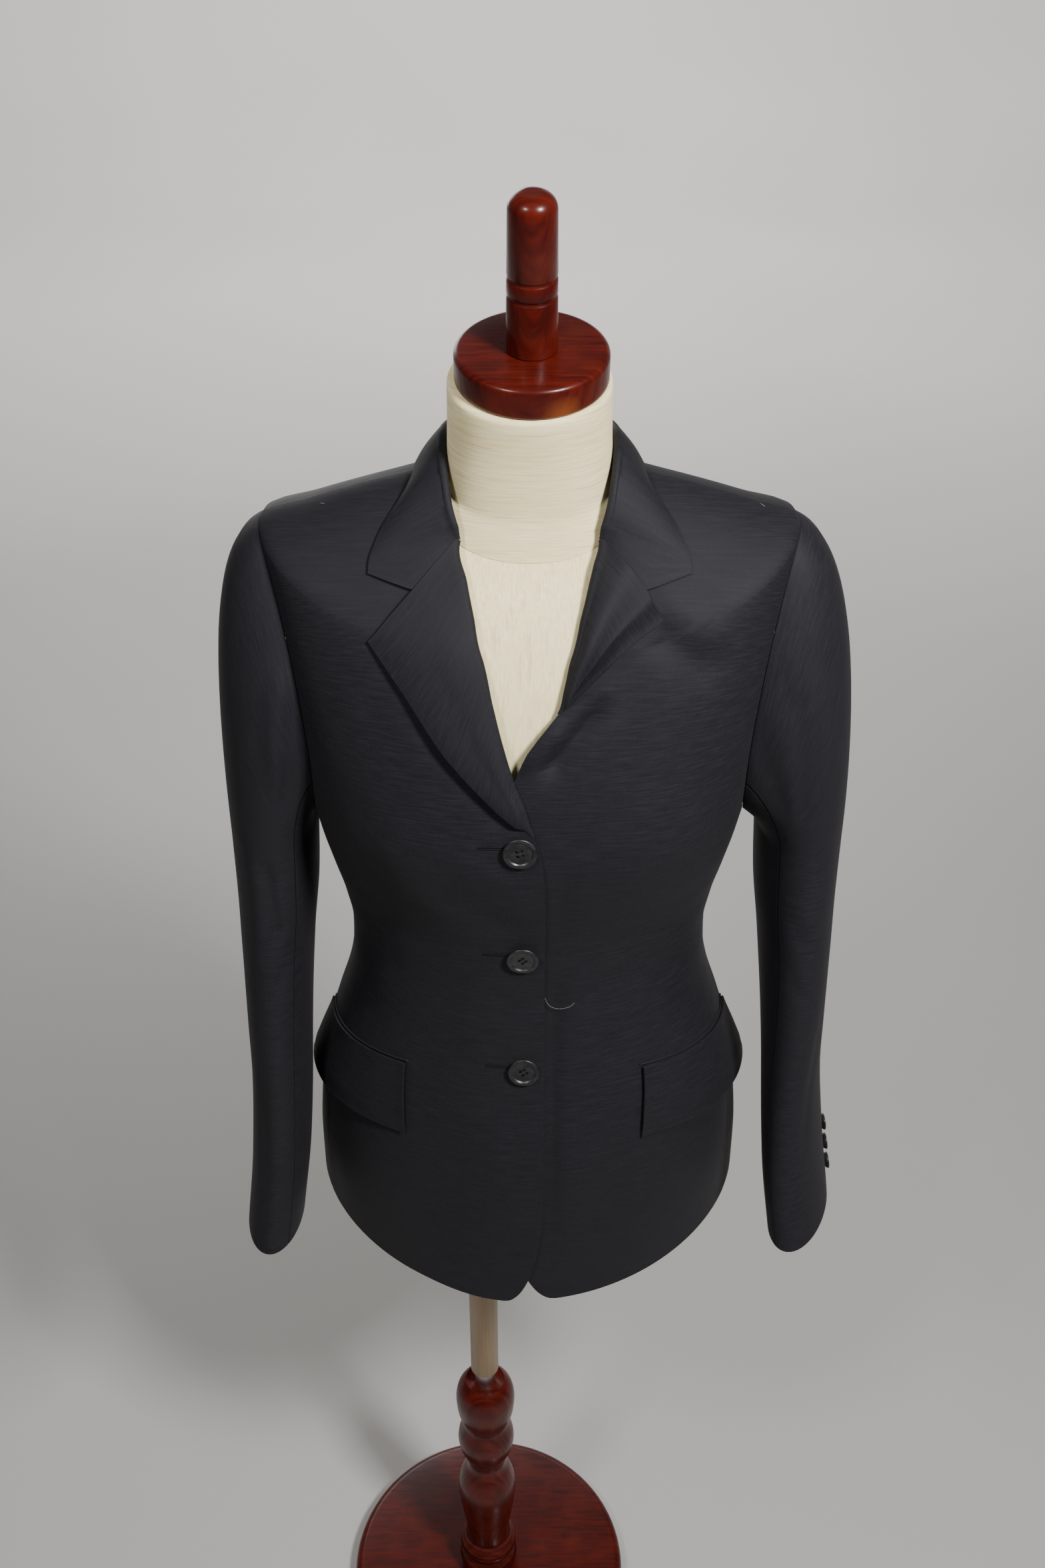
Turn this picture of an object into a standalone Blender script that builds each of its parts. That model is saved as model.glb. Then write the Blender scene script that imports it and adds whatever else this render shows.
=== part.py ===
"""Equestrian show coat on a limbless dress form with a turned wooden stand.

Metres, +Z up, the front of the coat faces -Y. The origin is on the floor, under the pole, in the
middle of the round base. Angles round the coat are in degrees from centre front, positive towards
the wearer's left (+X). A level is a height up the side of the coat as far as the shoulder point,
and past it the way along the shoulder to the neck.
"""
import math

import bmesh
import bpy
import numpy as np
from mathutils import Matrix

# Driving dimensions
FORM_X = 0.045  # middle of the form and coat, beside the pole's axis
CLOTH = 0.002  # wall of the cloth with its interlining
GAP = 0.0003  # between pieces that touch
SEAM = 0.0004  # between panels at a seam
FORM_CLEARANCE = 0.008  # between the form and the hanging cloth
SHOULDER_CLEARANCE = 0.0030  # between the form and the cloth that rests on its shoulders

HEM_LEVEL = 0.700
SHOULDER_LEVEL = 1.374
TOP_LEVEL = 1.494
ARMHOLE_BOTTOM = 1.135
ARMHOLE_REACH = 26.0  # how far the armhole cuts round, each way from the side, in degrees
ARMHOLE_FULLNESS = 0.55

BUST_ANGLE, BUST_WIDTH = 36.0, 20.0
BUST_Z, BUST_HEIGHT, BUST_FULLNESS = 1.160, 0.055, 0.009

# For each front: the edge from the form's middle, and the width and height of its round corner
EDGE_X = {-1: 0.0122, 1: -0.0180}
CORNER = {-1: (0.033, 0.115), 1: (0.042, 0.125)}
OVERLAP_LIFT = CLOTH + 2 * GAP
OVERLAP_FULL, OVERLAP_NONE = -12.0, -32.0  # angles between which the upper front comes down
RIDGE_HEIGHT, RIDGE_WIDTH = 0.0045, 3.5

BUTTONS = ((-0.0070, 1.1700), (-0.0048, 1.0572), (-0.0040, 0.9445))
BUTTON_RADIUS, BUTTON_THICKNESS, BUTTON_GAP = 0.0125, 0.0038, 0.0009
CUFF_BUTTON_RADIUS, CUFF_BUTTON_THICKNESS = 0.0075, 0.0032
CUFF_BUTTON_HEIGHTS = (0.756, 0.774, 0.792)
CUFF_BUTTON_TURN = -42.0

FLAP_TOP, FLAP_FOOT = (0.9290, 0.9070), (0.8620, 0.8480)  # levels, at the front and the back
FLAP_START, FLAP_END = {-1: 37.5, 1: 34.2}, 92.0  # angles
FLAP_STANDS_OFF = (0.003, 0.009)  # the lower edge from the coat, at the front and the back
FLAP_SWING = -3.0  # the lower front corner's angle, from the upper one

BICEPS_Z, CUFF_Z = 1.110, 0.735
SLEEVE_SHIFT = {-1: 0.0, 1: 0.0130}  # the wearer's left sleeve hangs further out
SLEEVE_TWIST = {-1: 0.0, 1: 20.0}  # and its cuff is turned in, in degrees
CUFF_SWING = {-1: 0.0, 1: 0.0038}

NECK_TILT = math.radians(12)  # the neck cap and finial lean forward
NECK_TOP_Y, NECK_TOP_Z = -0.0115, 1.4795
NECK_SHIFT = 0.0013  # of the wooden cap on the neck, towards the wearer's left
CAP_RADIUS, CAP_THICKNESS = 0.0530, 0.0225
FINIAL_RADIUS, FINIAL_TOP_RADIUS, FINIAL_LENGTH = 0.0176, 0.0163, 0.1087
FORM_BOTTOM_Z = 0.735

POLE_RADIUS, STEEL_RADIUS = 0.0145, 0.0105
POLE_BOTTOM_Z, NEWEL_TOP_Z = 0.391, 0.371
FLANGE_RADIUS, FLANGE_THICKNESS = 0.045, 0.010
BASE_RADIUS, BASE_THICKNESS = 0.157, 0.030
BASE_EDGE = 0.009


def table(columns, rows):
    """A short table as {column: values}."""
    return {name: [row[i] for row in rows] for i, name in enumerate(columns.split())}


def smooth(xs, ys, x):
    """A curve through the points (xs, ys) that doesn't overshoot, read at x."""
    steps = [(ys[i + 1] - ys[i]) / (xs[i + 1] - xs[i]) for i in range(len(xs) - 1)]
    last = len(steps) - 1
    i = max(0, min(last, sum(1 for value in xs if value <= x) - 1))

    def slope(k):
        if k in (0, last + 1):
            return steps[min(k, last)]
        before, after = steps[k - 1], steps[k]
        return 0.0 if before * after <= 0 else 2 * before * after / (before + after)

    width = xs[i + 1] - xs[i]
    t = (x - xs[i]) / width
    return (
        ys[i] * (1 + 2 * t) * (1 - t) ** 2
        + ys[i + 1] * t * t * (3 - 2 * t)
        + width * (slope(i) * t * (1 - t) ** 2 - slope(i + 1) * t * t * (1 - t))
    )


def ramp(low, high, x):
    """0 at low, 1 at high, smooth between."""
    t = max(0.0, min(1.0, (x - low) / (high - low)))
    return t * t * (3 - 2 * t)


def unit(v):
    return v / np.linalg.norm(v)


# Sections of the coat's body, along its inner face. A squareness of 2 is an ellipse.
COAT = table(
    "level squareness half_width front back front_z side_z back_z",
    [
        (0.700, 1.88, 0.1890, 0.150, 0.152, 0.692, 0.722, 0.712),
        (0.775, 1.97, 0.1880, 0.145, 0.150, 0.770, 0.778, 0.776),
        (0.832, 2.00, 0.1835, 0.140, 0.146, 0.830, 0.832, 0.832),
        (0.876, 2.00, 0.1765, 0.134, 0.138, 0.876, 0.876, 0.876),
        (0.915, 2.05, 0.1655, 0.127, 0.126, 0.915, 0.915, 0.915),
        (0.953, 2.05, 0.1535, 0.121, 0.115, 0.953, 0.953, 0.953),
        (0.985, 2.10, 0.1470, 0.117, 0.108, 0.985, 0.985, 0.985),
        (1.018, 2.10, 0.1455, 0.114, 0.106, 1.018, 1.018, 1.018),
        (1.055, 2.10, 0.1510, 0.115, 0.108, 1.055, 1.055, 1.055),
        (1.089, 2.15, 0.1590, 0.120, 0.113, 1.086, 1.089, 1.089),
        (1.122, 2.15, 0.1665, 0.127, 0.118, 1.114, 1.122, 1.122),
        (1.165, 2.20, 0.1735, 0.131, 0.121, 1.150, 1.165, 1.163),
        (1.220, 2.25, 0.1790, 0.128, 0.123, 1.194, 1.220, 1.214),
        (1.280, 2.30, 0.1850, 0.120, 0.122, 1.240, 1.280, 1.262),
        (1.340, 2.30, 0.1905, 0.107, 0.114, 1.282, 1.339, 1.306),
        (1.374, 2.30, 0.1930, 0.096, 0.105, 1.308, 1.371, 1.330),
        (1.410, 2.30, 0.1600, 0.083, 0.092, 1.330, 1.383, 1.346),
        (1.450, 2.30, 0.1180, 0.069, 0.079, 1.350, 1.396, 1.364),
        (1.494, 2.30, 0.0700, 0.056, 0.066, 1.368, 1.408, 1.390),
    ],
)


# The ridge where the left front's edge rolls back
ROLL_RIDGE = table("level angle", [(1.27, 2.5), (1.30, 6.0), (1.33, 9.5), (1.37, 14.0)])


def section(column, level):
    return smooth(COAT["level"], COAT[column], level)


def coat_surface(angle, level):
    """The coat's inner face, from the form's middle."""
    turn = math.radians(angle)
    c, s = math.cos(turn), math.sin(turn)
    end = "front" if c > 0 else "back"
    power = 2 / section("squareness", level)
    x = math.copysign(section("half_width", level) * abs(s) ** power, s)
    y = math.copysign(section(end, level) * abs(c) ** power, -c)
    side_z = section("side_z", level)
    z = side_z + (section(end + "_z", level) - side_z) * abs(c) ** 1.5
    across = math.exp(-(((abs(angle) - BUST_ANGLE) / BUST_WIDTH) ** 2))
    y -= BUST_FULLNESS * across * math.exp(-(((z - BUST_Z) / BUST_HEIGHT) ** 2))
    return np.array([x, y, z])


def coat_normal(angle, level):
    """Outward from the coat's face."""
    around = coat_surface(angle + 0.5, level) - coat_surface(angle - 0.5, level)
    up = coat_surface(angle, level + 0.002) - coat_surface(angle, level - 0.002)
    return unit(np.cross(around, up))


def coat_point(angle, level, out=0.0):
    """A point out metres outside the coat's inner face, in the part's frame."""
    point = coat_surface(angle, level) + coat_normal(angle, level) * out
    return point + np.array([FORM_X, 0.0, 0.0])


def angle_of(x, level):
    """The angle at which the front is x from the form's middle."""
    share = min(1.0, abs(x) / section("half_width", level))
    power = section("squareness", level) / 2
    return math.copysign(math.degrees(math.asin(share**power)), x)


def on_front(x, z):
    """(angle, level) of the front at x from the form's middle and height z."""
    low, high = HEM_LEVEL - 0.02, TOP_LEVEL
    for _ in range(30):
        level = (low + high) / 2
        if coat_surface(angle_of(x, level), level)[2] < z:
            low = level
        else:
            high = level
    return angle_of(x, level), level


def right_lift(angle):
    """How far the upper front stands off where it laps over the other."""
    return OVERLAP_LIFT * ramp(OVERLAP_NONE, OVERLAP_FULL, angle)


def left_roll(angle, level):
    """The soft ridge beside the left front's edge, below the foot of its lapel."""
    across = (angle - smooth(ROLL_RIDGE["level"], ROLL_RIDGE["angle"], level)) / RIDGE_WIDTH
    window = ramp(1.262, 1.300, level) * (1 - ramp(1.315, 1.370, level))
    return RIDGE_HEIGHT * window * math.exp(-(across**2))


def lift_of(side, angle, level):
    return right_lift(angle) if side < 0 else left_roll(angle, level)


# Materials
def material(name, colour, roughness, metallic=0.0):
    made = bpy.data.materials.new(name)
    made.use_nodes = True
    shader = made.node_tree.nodes["Principled BSDF"]
    shader.inputs["Base Color"].default_value = (*colour, 1.0)
    shader.inputs["Roughness"].default_value = roughness
    shader.inputs["Metallic"].default_value = metallic
    return made


def clear_scene():
    for obj in list(bpy.data.objects):
        bpy.data.objects.remove(obj)


# Building blocks
def add_object(name, bm, finish):
    mesh = bpy.data.meshes.new(name)
    bm.to_mesh(mesh)
    bm.free()
    obj = bpy.data.objects.new(name, mesh)
    PARTS.objects.link(obj)
    mesh.materials.append(finish)
    mesh.shade_smooth()
    mesh.set_sharp_from_angle(angle=math.radians(40))
    return obj


def wall(name, rows, finish, thickness=CLOTH, offset=1.0):
    """A cloth wall through rows of points, thickened outwards (offset 1) or inwards (-1)."""
    across, up = len(rows[0]), len(rows)
    bm = bmesh.new()
    bmesh.ops.create_grid(bm, x_segments=across - 1, y_segments=up - 1, size=0.5)
    order = sorted(bm.verts, key=lambda v: (round(v.co.y, 5), round(v.co.x, 5)))
    for vert, point in zip(order, (p for row in rows for p in row)):
        vert.co = point
    obj = add_object(name, bm, finish)
    shell = obj.modifiers.new("cloth", "SOLIDIFY")
    shell.thickness = thickness
    shell.offset = offset
    return obj


def closed_loft(name, rings, finish):
    """A solid through rings of points, closed at both ends."""
    bm = bmesh.new()
    loops = []
    for ring in rings:
        verts = [bm.verts.new(point) for point in ring]
        loops.append([bm.edges.new((verts[i - 1], verts[i])) for i in range(len(verts))])
    for low, high in zip(loops, loops[1:]):
        bmesh.ops.bridge_loops(bm, edges=low + high)
    bmesh.ops.holes_fill(bm, edges=loops[0] + loops[-1], sides=0)
    bmesh.ops.recalc_face_normals(bm, faces=bm.faces)
    return add_object(name, bm, finish)


def turned(name, profile, finish, steps):
    """A solid turned about Z: the profile's (radius, height) points run from the top down."""
    bm = bmesh.new()
    verts = [bm.verts.new((radius, 0.0, height)) for radius, height in profile]
    for a, b in zip(verts, verts[1:]):
        bm.edges.new((a, b))
    obj = add_object(name, bm, finish)
    screw = obj.modifiers.new("turn", "SCREW")
    screw.steps = screw.render_steps = steps
    screw.use_merge_vertices = True
    screw.merge_threshold = 0.00001
    screw.use_smooth_shade = True
    return obj


def spaced(low, high, count):
    return [low + (high - low) * i / (count - 1) for i in range(count)]


# Armhole: its stations are turns from its top, 90 at the front. Body and sleeve share them.
FRONT_TURNS = (147.0, 128.0, 108.0, 88.0, 70.0, 54.0, 40.0, 27.0, 14.0, 0.0)
UNDER_TURNS = (147.0, 163.0, 180.0, 196.0, 211.0, 225.0)
BACK_TURNS = (225.0, 243.0, 262.0, 282.0, 300.0, 316.0, 331.0, 346.0, 360.0)
SLEEVE_FRONT_SEAM, SLEEVE_BACK_SEAM = 128.0, 282.0


def armhole_place(turn, inset=0.0):
    """(angle, level) of the armhole's edge on the wearer's left, inset metres inside it."""
    bend = math.radians(turn)
    middle = (ARMHOLE_BOTTOM + SHOULDER_LEVEL) / 2
    half = (SHOULDER_LEVEL - ARMHOLE_BOTTOM) / 2 - inset
    reach = ARMHOLE_REACH * abs(math.sin(bend)) ** ARMHOLE_FULLNESS
    reach = max(0.0, reach - seam_angle(2 * inset))
    return 90.0 - math.copysign(reach, math.sin(bend)), middle + half * math.cos(bend)


def seam_angle(width=SEAM, radius=0.17):
    """Half of a gap, as an angle."""
    return math.degrees(width / 2 / radius)


# Body panels
LOWER_LEVELS = (0.700, 0.7035, 0.713, 0.734, 0.765, 0.797, 0.830, 0.862, 0.893, 0.923, 0.950, 0.976,
                1.003, 1.030, 1.057, 1.084, 1.115)
GORGE = (0.0516, 1.3757)
NOTCH = (0.0811, 1.3463)
ROLL = {
    -1: [(0.0122, 1.1200), (0.0108, 1.1450), (0.0074, 1.1680), (0.0032, 1.1800), (-0.0056, 1.2015),
         (-0.0130, 1.2200), (-0.0220, 1.2496), (-0.0293, 1.2781), (-0.0353, 1.3047),
         (-0.0417, 1.3294), (-0.0472, 1.3527), (-GORGE[0], GORGE[1])],
    1: [(-0.0180, 1.1760), (-0.0125, 1.2160), (-0.0057, 1.2358), (0.0038, 1.2509), (0.0140, 1.2637),
        (0.0214, 1.2735), (0.0271, 1.2861), (0.0325, 1.3075), (0.0381, 1.3272), (0.0436, 1.3462),
        (0.0478, 1.3610), GORGE],
}
ROLL_PLACES = {side: [on_front(x, z) for x, z in ROLL[side]] for side in (-1, 1)}
NECK_LEVEL = ROLL_PLACES[1][-1][1]  # the neck seam starts where the roll line ends
SHOULDER_LEVELS = (1.404, 1.434, 1.461, NECK_LEVEL)
FRONT_LEVELS = (
    LOWER_LEVELS + tuple(armhole_place(turn)[1] for turn in FRONT_TURNS) + SHOULDER_LEVELS
)
BACK_LEVELS = (
    LOWER_LEVELS + tuple(armhole_place(turn)[1] for turn in BACK_TURNS) + SHOULDER_LEVELS
)
FRONT_COLUMNS = (0.0, 0.045, 0.11, 0.20, 0.32, 0.46, 0.62, 0.80, 1.0)


def edge_angle(side, level):
    """Where a front's edge is: its rounded corner, its straight edge, then the roll line."""
    places = ROLL_PLACES[side]
    if level > places[0][1]:
        return smooth([place[1] for place in places], [place[0] for place in places], level)
    width, height = CORNER[side]
    below = max(0.0, 1 - (level - HEM_LEVEL) / height)
    return angle_of(EDGE_X[side] + side * width * (1 - math.sqrt(1 - below**2)), level)


def panel_edge(level, turns, corner_angle):
    """The outer edge of a front or back panel: side seam, armhole, then shoulder seam."""
    toward = 1 if corner_angle > 90.0 else -1
    if level <= armhole_place(turns[0])[1]:
        return corner_angle + toward * seam_angle()
    for turn in turns:
        if abs(armhole_place(turn)[1] - level) < 1e-9:
            return armhole_place(turn)[0] + toward * seam_angle()
    return 90.0 + toward * seam_angle(radius=0.08)


def front_panel(side, finish):
    rows = []
    for level in FRONT_LEVELS:
        outer = panel_edge(level, FRONT_TURNS, armhole_place(FRONT_TURNS[0])[0])
        inner = side * edge_angle(side, level)
        angles = [side * (inner + (outer - inner) * share) for share in FRONT_COLUMNS]
        row = [coat_point(angle, level, lift_of(side, angle, level)) for angle in angles]
        rows.append(row[::side])
    return wall("front_right" if side < 0 else "front_left", rows, finish)


def side_panel(side, finish):
    rows = []
    places = [armhole_place(turn) for turn in UNDER_TURNS]
    ends = (seam_angle(), -seam_angle())
    for share in spaced(0.0, 1.0, 17):
        row = []
        for i, (angle, top) in enumerate(places):
            shift = ends[0] if i == 0 else ends[1] if i == len(places) - 1 else 0.0
            row.append(coat_point(side * (angle + shift), HEM_LEVEL + (top - HEM_LEVEL) * share))
        rows.append(row[::side])
    return wall("side_right" if side < 0 else "side_left", rows, finish)


def back_panel(side, finish):
    rows = []
    for level in BACK_LEVELS:
        outer = panel_edge(level, BACK_TURNS, armhole_place(BACK_TURNS[0])[0])
        inner = 180.0 - seam_angle(radius=0.12)
        row = [coat_point(side * angle, level) for angle in spaced(outer, inner, 8)]
        rows.append(row[::side])
    return wall("back_right" if side < 0 else "back_left", rows, finish)


# Lapels: each is turned over its front's edge and lies on the front's outer face. The free edge
# is given as (x, z) from the foot to the tip.
LAPEL = {
    -1: {
        "edge": [(-0.0022, 1.1858), (-0.0150, 1.1968), (-0.0374, 1.2198), (-0.0600, 1.2460),
                 (-0.0869, 1.2845), (-0.1117, 1.3168)],
        "foot": (0.0027, 1.1812),
        "bow": 0.0022,
        "tip_lift": 0.0,
    },
    1: {
        "edge": [(0.0225, 1.2728), (0.0322, 1.2829), (0.0502, 1.2999), (0.0683, 1.3148),
                 (0.0915, 1.3284)],
        "foot": (0.0204, 1.2724),
        "bow": 0.0006,
        "tip_lift": 0.0120,
    },
}
LAY = 0.0009  # between a piece and the cloth it lies on
FOLD_RADIUS = CLOTH / 2 + LAY
LAPEL_BELOW_GORGE = np.array([0.0, 0.0004])
COLLAR_ABOVE_GORGE = np.array([0.0, 0.0013])


def along(points, share):
    """A point on the smooth line through points, share of the way along its rows."""
    steps = [float(i) / (len(points) - 1) for i in range(len(points))]
    return np.array([smooth(steps, [p[k] for p in points], share) for k in range(len(points[0]))])


def bent(first, middle, last, share):
    """A point on the line from first to last that turns a corner at middle."""
    corner = np.linalg.norm(middle - first)
    corner = corner / (corner + np.linalg.norm(last - middle))
    if share < corner:
        return first + (middle - first) * (share / corner)
    return middle + (last - middle) * ((share - corner) / (1 - corner))


def on_panel(side, place, out, across=0.0):
    """A point of a piece that lies on a front, out from its outer face, across past its edge."""
    angle, level = place
    point = coat_point(angle, level, lift_of(side, angle, level) + CLOTH + out)
    sideways = unit(np.cross(np.array([0.0, 0.0, 1.0]), coat_normal(angle, level)))
    return point - sideways * (side * across)


def on_fold(side, level, turn):
    """A point of the fold round a front's edge: a turn of 90 is on the outer face."""
    bend = math.radians(turn)
    out = FOLD_RADIUS * math.sin(bend) - CLOTH / 2
    place = (edge_angle(side, level), level)
    return on_panel(side, place, out, FOLD_RADIUS * math.cos(bend))


def lapel(side, finish):
    shape = LAPEL[side]
    mirror = np.array([side, 1.0])
    tip = np.array(shape["edge"][-1])
    gorge = np.array(GORGE) * mirror - LAPEL_BELOW_GORGE
    notch = np.array(NOTCH) * mirror - LAPEL_BELOW_GORGE
    foot, foot_edge = np.array(shape["foot"]), np.array(shape["edge"][0])
    foot_level, top_level = on_front(*foot)[1], on_front(*gorge)[1]
    between = [level for level in FRONT_LEVELS if foot_level + 0.003 < level < top_level - 0.003]
    rows = []
    for level in [foot_level] + between + [top_level]:
        row = [on_fold(side, level, turn) for turn in (0.0, 45.0)]
        s = (level - foot_level) / (top_level - foot_level)
        start = coat_surface(edge_angle(side, level), level)[[0, 2]]
        for w in spaced(0.0, 1.0, 7):
            top = bent(gorge, notch, tip, w)
            bottom = foot + (foot_edge - foot) * w
            corners = (1 - s) * bottom + s * (gorge + (tip - gorge) * w)
            xz = (1 - w) * start + w * along(shape["edge"], s) + (1 - s) * bottom + s * top - corners
            curl = shape["tip_lift"] * w**3 * ramp(0.0, 0.6, s)
            out = LAY + shape["bow"] * math.sin(math.pi * w) + curl
            row.append(on_panel(side, on_front(*xz), out))
        rows.append(row[::side])
    return wall("lapel_right" if side < 0 else "lapel_left", rows, finish)


# Collar: stations from centre back round to the gorge seam, on the wearer's left: the angle of the
# neck seam, the fold between the stand and the fall (x, y, z), and where the fall ends (angle,
# level).
COLLAR = (
    (180.0, 0.0000, 0.0660, 1.4220, 180.0, 1.4715),
    (162.0, 0.0208, 0.0614, 1.4228, 162.5, 1.4725),
    (144.0, 0.0383, 0.0545, 1.4242, 144.5, 1.4760),
    (125.5, 0.0520, 0.0410, 1.4279, 126.0, 1.4810),
    (108.0, 0.0588, 0.0249, 1.4313, 108.5, 1.4845),
    (90.0, 0.0617, 0.0040, 1.4332, 90.0, 1.4850),
    (78.5, 0.0617, -0.0080, 1.4305, 78.0, 1.4800),
    (69.0, 0.0612, -0.0175, 1.4265, 70.0, 1.4715),
    (61.5, 0.0602, -0.0275, 1.4195, 63.0, 1.4600),
    (54.5, 0.0586, -0.0358, 1.4112, 58.0, 1.4495),
    (48.5, 0.0572, -0.0420, 1.4028, 53.5, 1.4395),
    (43.5, 0.0551, -0.0465, 1.3946, 50.0, 1.4305),
    (39.5, 0.0524, -0.0497, 1.3862, 47.9, 1.4252),
)
COLLAR_TIP = (0.1121, 1.3548)
COLLAR_CLOTH = 0.0018
COLLAR_LAY = 0.0014
COLLAR_FOLD = 0.0014
COLLAR_BOW = 0.0015
FALL_SHARES = (0.2, 0.4, 0.6, 0.8, 1.0)


def collar_station(side, seam_at, fold_x, fold_y, fold_z, edge_at, edge_level):
    """One cross-section of the collar: up the stand, over the fold and down the fall."""
    fold = np.array([FORM_X + side * fold_x, fold_y, fold_z])
    seam = coat_point(side * seam_at, NECK_LEVEL, CLOTH / 2)
    below = coat_point(side * seam_at, NECK_LEVEL - 0.004, CLOTH / 2)
    seam = seam + unit(seam - below) * LAY
    edge = on_panel(side, (side * edge_at, edge_level), COLLAR_LAY)
    outward = unit((edge - fold) * np.array([1.0, 1.0, 0.0]))
    row = [seam, seam * 0.45 + (fold - outward * COLLAR_FOLD) * 0.55]
    for turn in (180.0, 120.0, 60.0, 0.0):
        bend = math.radians(turn)
        reach = outward * math.cos(bend) + np.array([0.0, 0.0, math.sin(bend)])
        row.append(fold + reach * COLLAR_FOLD)
    start = row[-1]
    for share in FALL_SHARES:
        bow = outward * COLLAR_BOW * math.sin(math.pi * share)
        row.append(start + (edge - start) * share + bow)
    return row


def collar_end(side):
    """The collar's front end: over the fold, along the gorge seam, then out to the tip."""
    mirror = np.array([side, 1.0])
    gorge = np.array(GORGE) * mirror + COLLAR_ABOVE_GORGE
    notch = np.array(NOTCH) * mirror + COLLAR_ABOVE_GORGE
    tip = np.array(COLLAR_TIP) * mirror
    level = on_front(*gorge)[1]
    row = [on_fold(side, level, turn) for turn in spaced(0.0, 90.0, 6)]
    for share in FALL_SHARES:
        out = LAY + COLLAR_BOW * 0.6 * math.sin(math.pi * share)
        row.append(on_panel(side, on_front(*bent(gorge, notch, tip, share)), out))
    return row


def collar(finish):
    halves = []
    for side in (-1, 1):
        halves.append([collar_station(side, *station) for station in COLLAR] + [collar_end(side)])
    rows = halves[0][:0:-1] + halves[1]
    return wall("collar", [row[::-1] for row in rows], finish, thickness=COLLAR_CLOTH)


# Sleeves: a cap that bulges out of the armhole, then rings down to the cuff, on their outer face
SLEEVE = table(
    "z middle_x middle_y half_x half_y",
    [
        (0.735, 0.2255, -0.0830, 0.0245, 0.0550),
        (0.800, 0.2180, -0.0625, 0.0252, 0.0565),
        (0.875, 0.2140, -0.0410, 0.0255, 0.0590),
        (0.925, 0.2130, -0.0290, 0.0270, 0.0610),
        (1.000, 0.2100, -0.0150, 0.0300, 0.0635),
        (1.055, 0.2065, -0.0080, 0.0330, 0.0655),
        (1.110, 0.2050, -0.0040, 0.0345, 0.0660),
    ],
)
CAP_ROWS, LENGTH_ROWS = 7, 11
SLEEVE_GAP, SEAM_STRIP = 0.5, 2.5  # half of the gap at a seam, and the strip beside it, in turns


def sleeve_point(side, turn, z):
    """A point of the sleeve's outer face. A turn of 0 faces out, 90 faces forward."""
    bend = math.radians(turn)
    hang = 1 - ramp(CUFF_Z, 1.02, z)
    twist = math.radians(SLEEVE_TWIST[side]) * hang
    out = smooth(SLEEVE["z"], SLEEVE["half_x"], z) * math.cos(bend)
    forward = smooth(SLEEVE["z"], SLEEVE["half_y"], z) * math.sin(bend)
    x = smooth(SLEEVE["z"], SLEEVE["middle_x"], z) + SLEEVE_SHIFT[side] + CUFF_SWING[side] * hang
    x += out * math.cos(twist) - forward * math.sin(twist)
    y = smooth(SLEEVE["z"], SLEEVE["middle_y"], z)
    y -= forward * math.cos(twist) + out * math.sin(twist)
    return np.array([FORM_X + side * x, y, z])


def cap_point(side, turn, share):
    """A point of the sleeve's cap: a curve from the armhole out and down to the biceps."""
    bend = math.radians(turn)
    angle, level = armhole_place(turn, SEAM)
    start = coat_point(side * angle, level, CLOTH)
    end = sleeve_point(side, turn, BICEPS_Z)
    span = np.linalg.norm(end - start)
    top = max(0.0, math.cos(bend))
    under = max(0.0, -math.cos(bend))
    leave = np.array([side * (0.75 + 0.20 * top), -0.40 * math.sin(bend), -0.34 - 0.30 * under])
    leave = unit(leave) * span * (0.17 + 0.04 * (1 - top))
    arrive = np.array([0.0, 0.0, span * (0.30 + 0.185 * top)])
    t = share
    return (
        start * (1 - t) ** 3
        + 3 * (start + leave) * t * (1 - t) ** 2
        + 3 * (end + arrive) * t * t * (1 - t)
        + end * t**3
    )


def sleeve_piece(name, side, turns, finish):
    """One of the two pieces of a sleeve."""
    low, high = turns[0] + SLEEVE_GAP, turns[-1] - SLEEVE_GAP
    turns = [low, low + SEAM_STRIP] + turns[1:-1] + [high - SEAM_STRIP, high]
    rows = []
    for z in spaced(CUFF_Z, BICEPS_Z, LENGTH_ROWS)[:-1]:
        rows.append([sleeve_point(side, turn, z) for turn in turns])
    for share in spaced(1.0, 0.0, CAP_ROWS):
        rows.append([cap_point(side, turn, share) for turn in turns])
    return wall(name, [row[::-side] for row in rows], finish, offset=-1.0)


def sleeve(side, finish):
    hand = "right" if side < 0 else "left"
    turns = sorted(set(FRONT_TURNS + UNDER_TURNS + BACK_TURNS[:-1]))
    under = [turn for turn in turns if SLEEVE_FRONT_SEAM <= turn <= SLEEVE_BACK_SEAM]
    behind = [turn - 360.0 for turn in turns if turn >= SLEEVE_BACK_SEAM]
    upper = behind + [turn for turn in turns if turn <= SLEEVE_FRONT_SEAM]
    sleeve_piece("sleeve_upper_" + hand, side, upper, finish)
    sleeve_piece("sleeve_under_" + hand, side, under, finish)


# Pocket flaps
def pocket_flap(side, finish):
    rows = []
    columns = spaced(0.0, 1.0, 9)
    for share in spaced(0.0, 1.0, 5):
        row = []
        for along_flap in columns:
            angle = FLAP_START[side] + (FLAP_END - FLAP_START[side]) * along_flap
            angle = side * (angle + FLAP_SWING * (1 - share) * (1 - along_flap))
            low = FLAP_FOOT[0] + (FLAP_FOOT[1] - FLAP_FOOT[0]) * along_flap
            high = FLAP_TOP[0] + (FLAP_TOP[1] - FLAP_TOP[0]) * along_flap
            level = low + (high - low) * share
            stands_off = FLAP_STANDS_OFF[0] + (FLAP_STANDS_OFF[1] - FLAP_STANDS_OFF[0]) * along_flap
            out = lift_of(side, angle, level) + CLOTH + LAY + stands_off * (1 - share) ** 1.5
            row.append(coat_point(angle, level, out))
        rows.append(row[::side])
    return wall("pocket_flap_right" if side < 0 else "pocket_flap_left", rows, finish)


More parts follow.
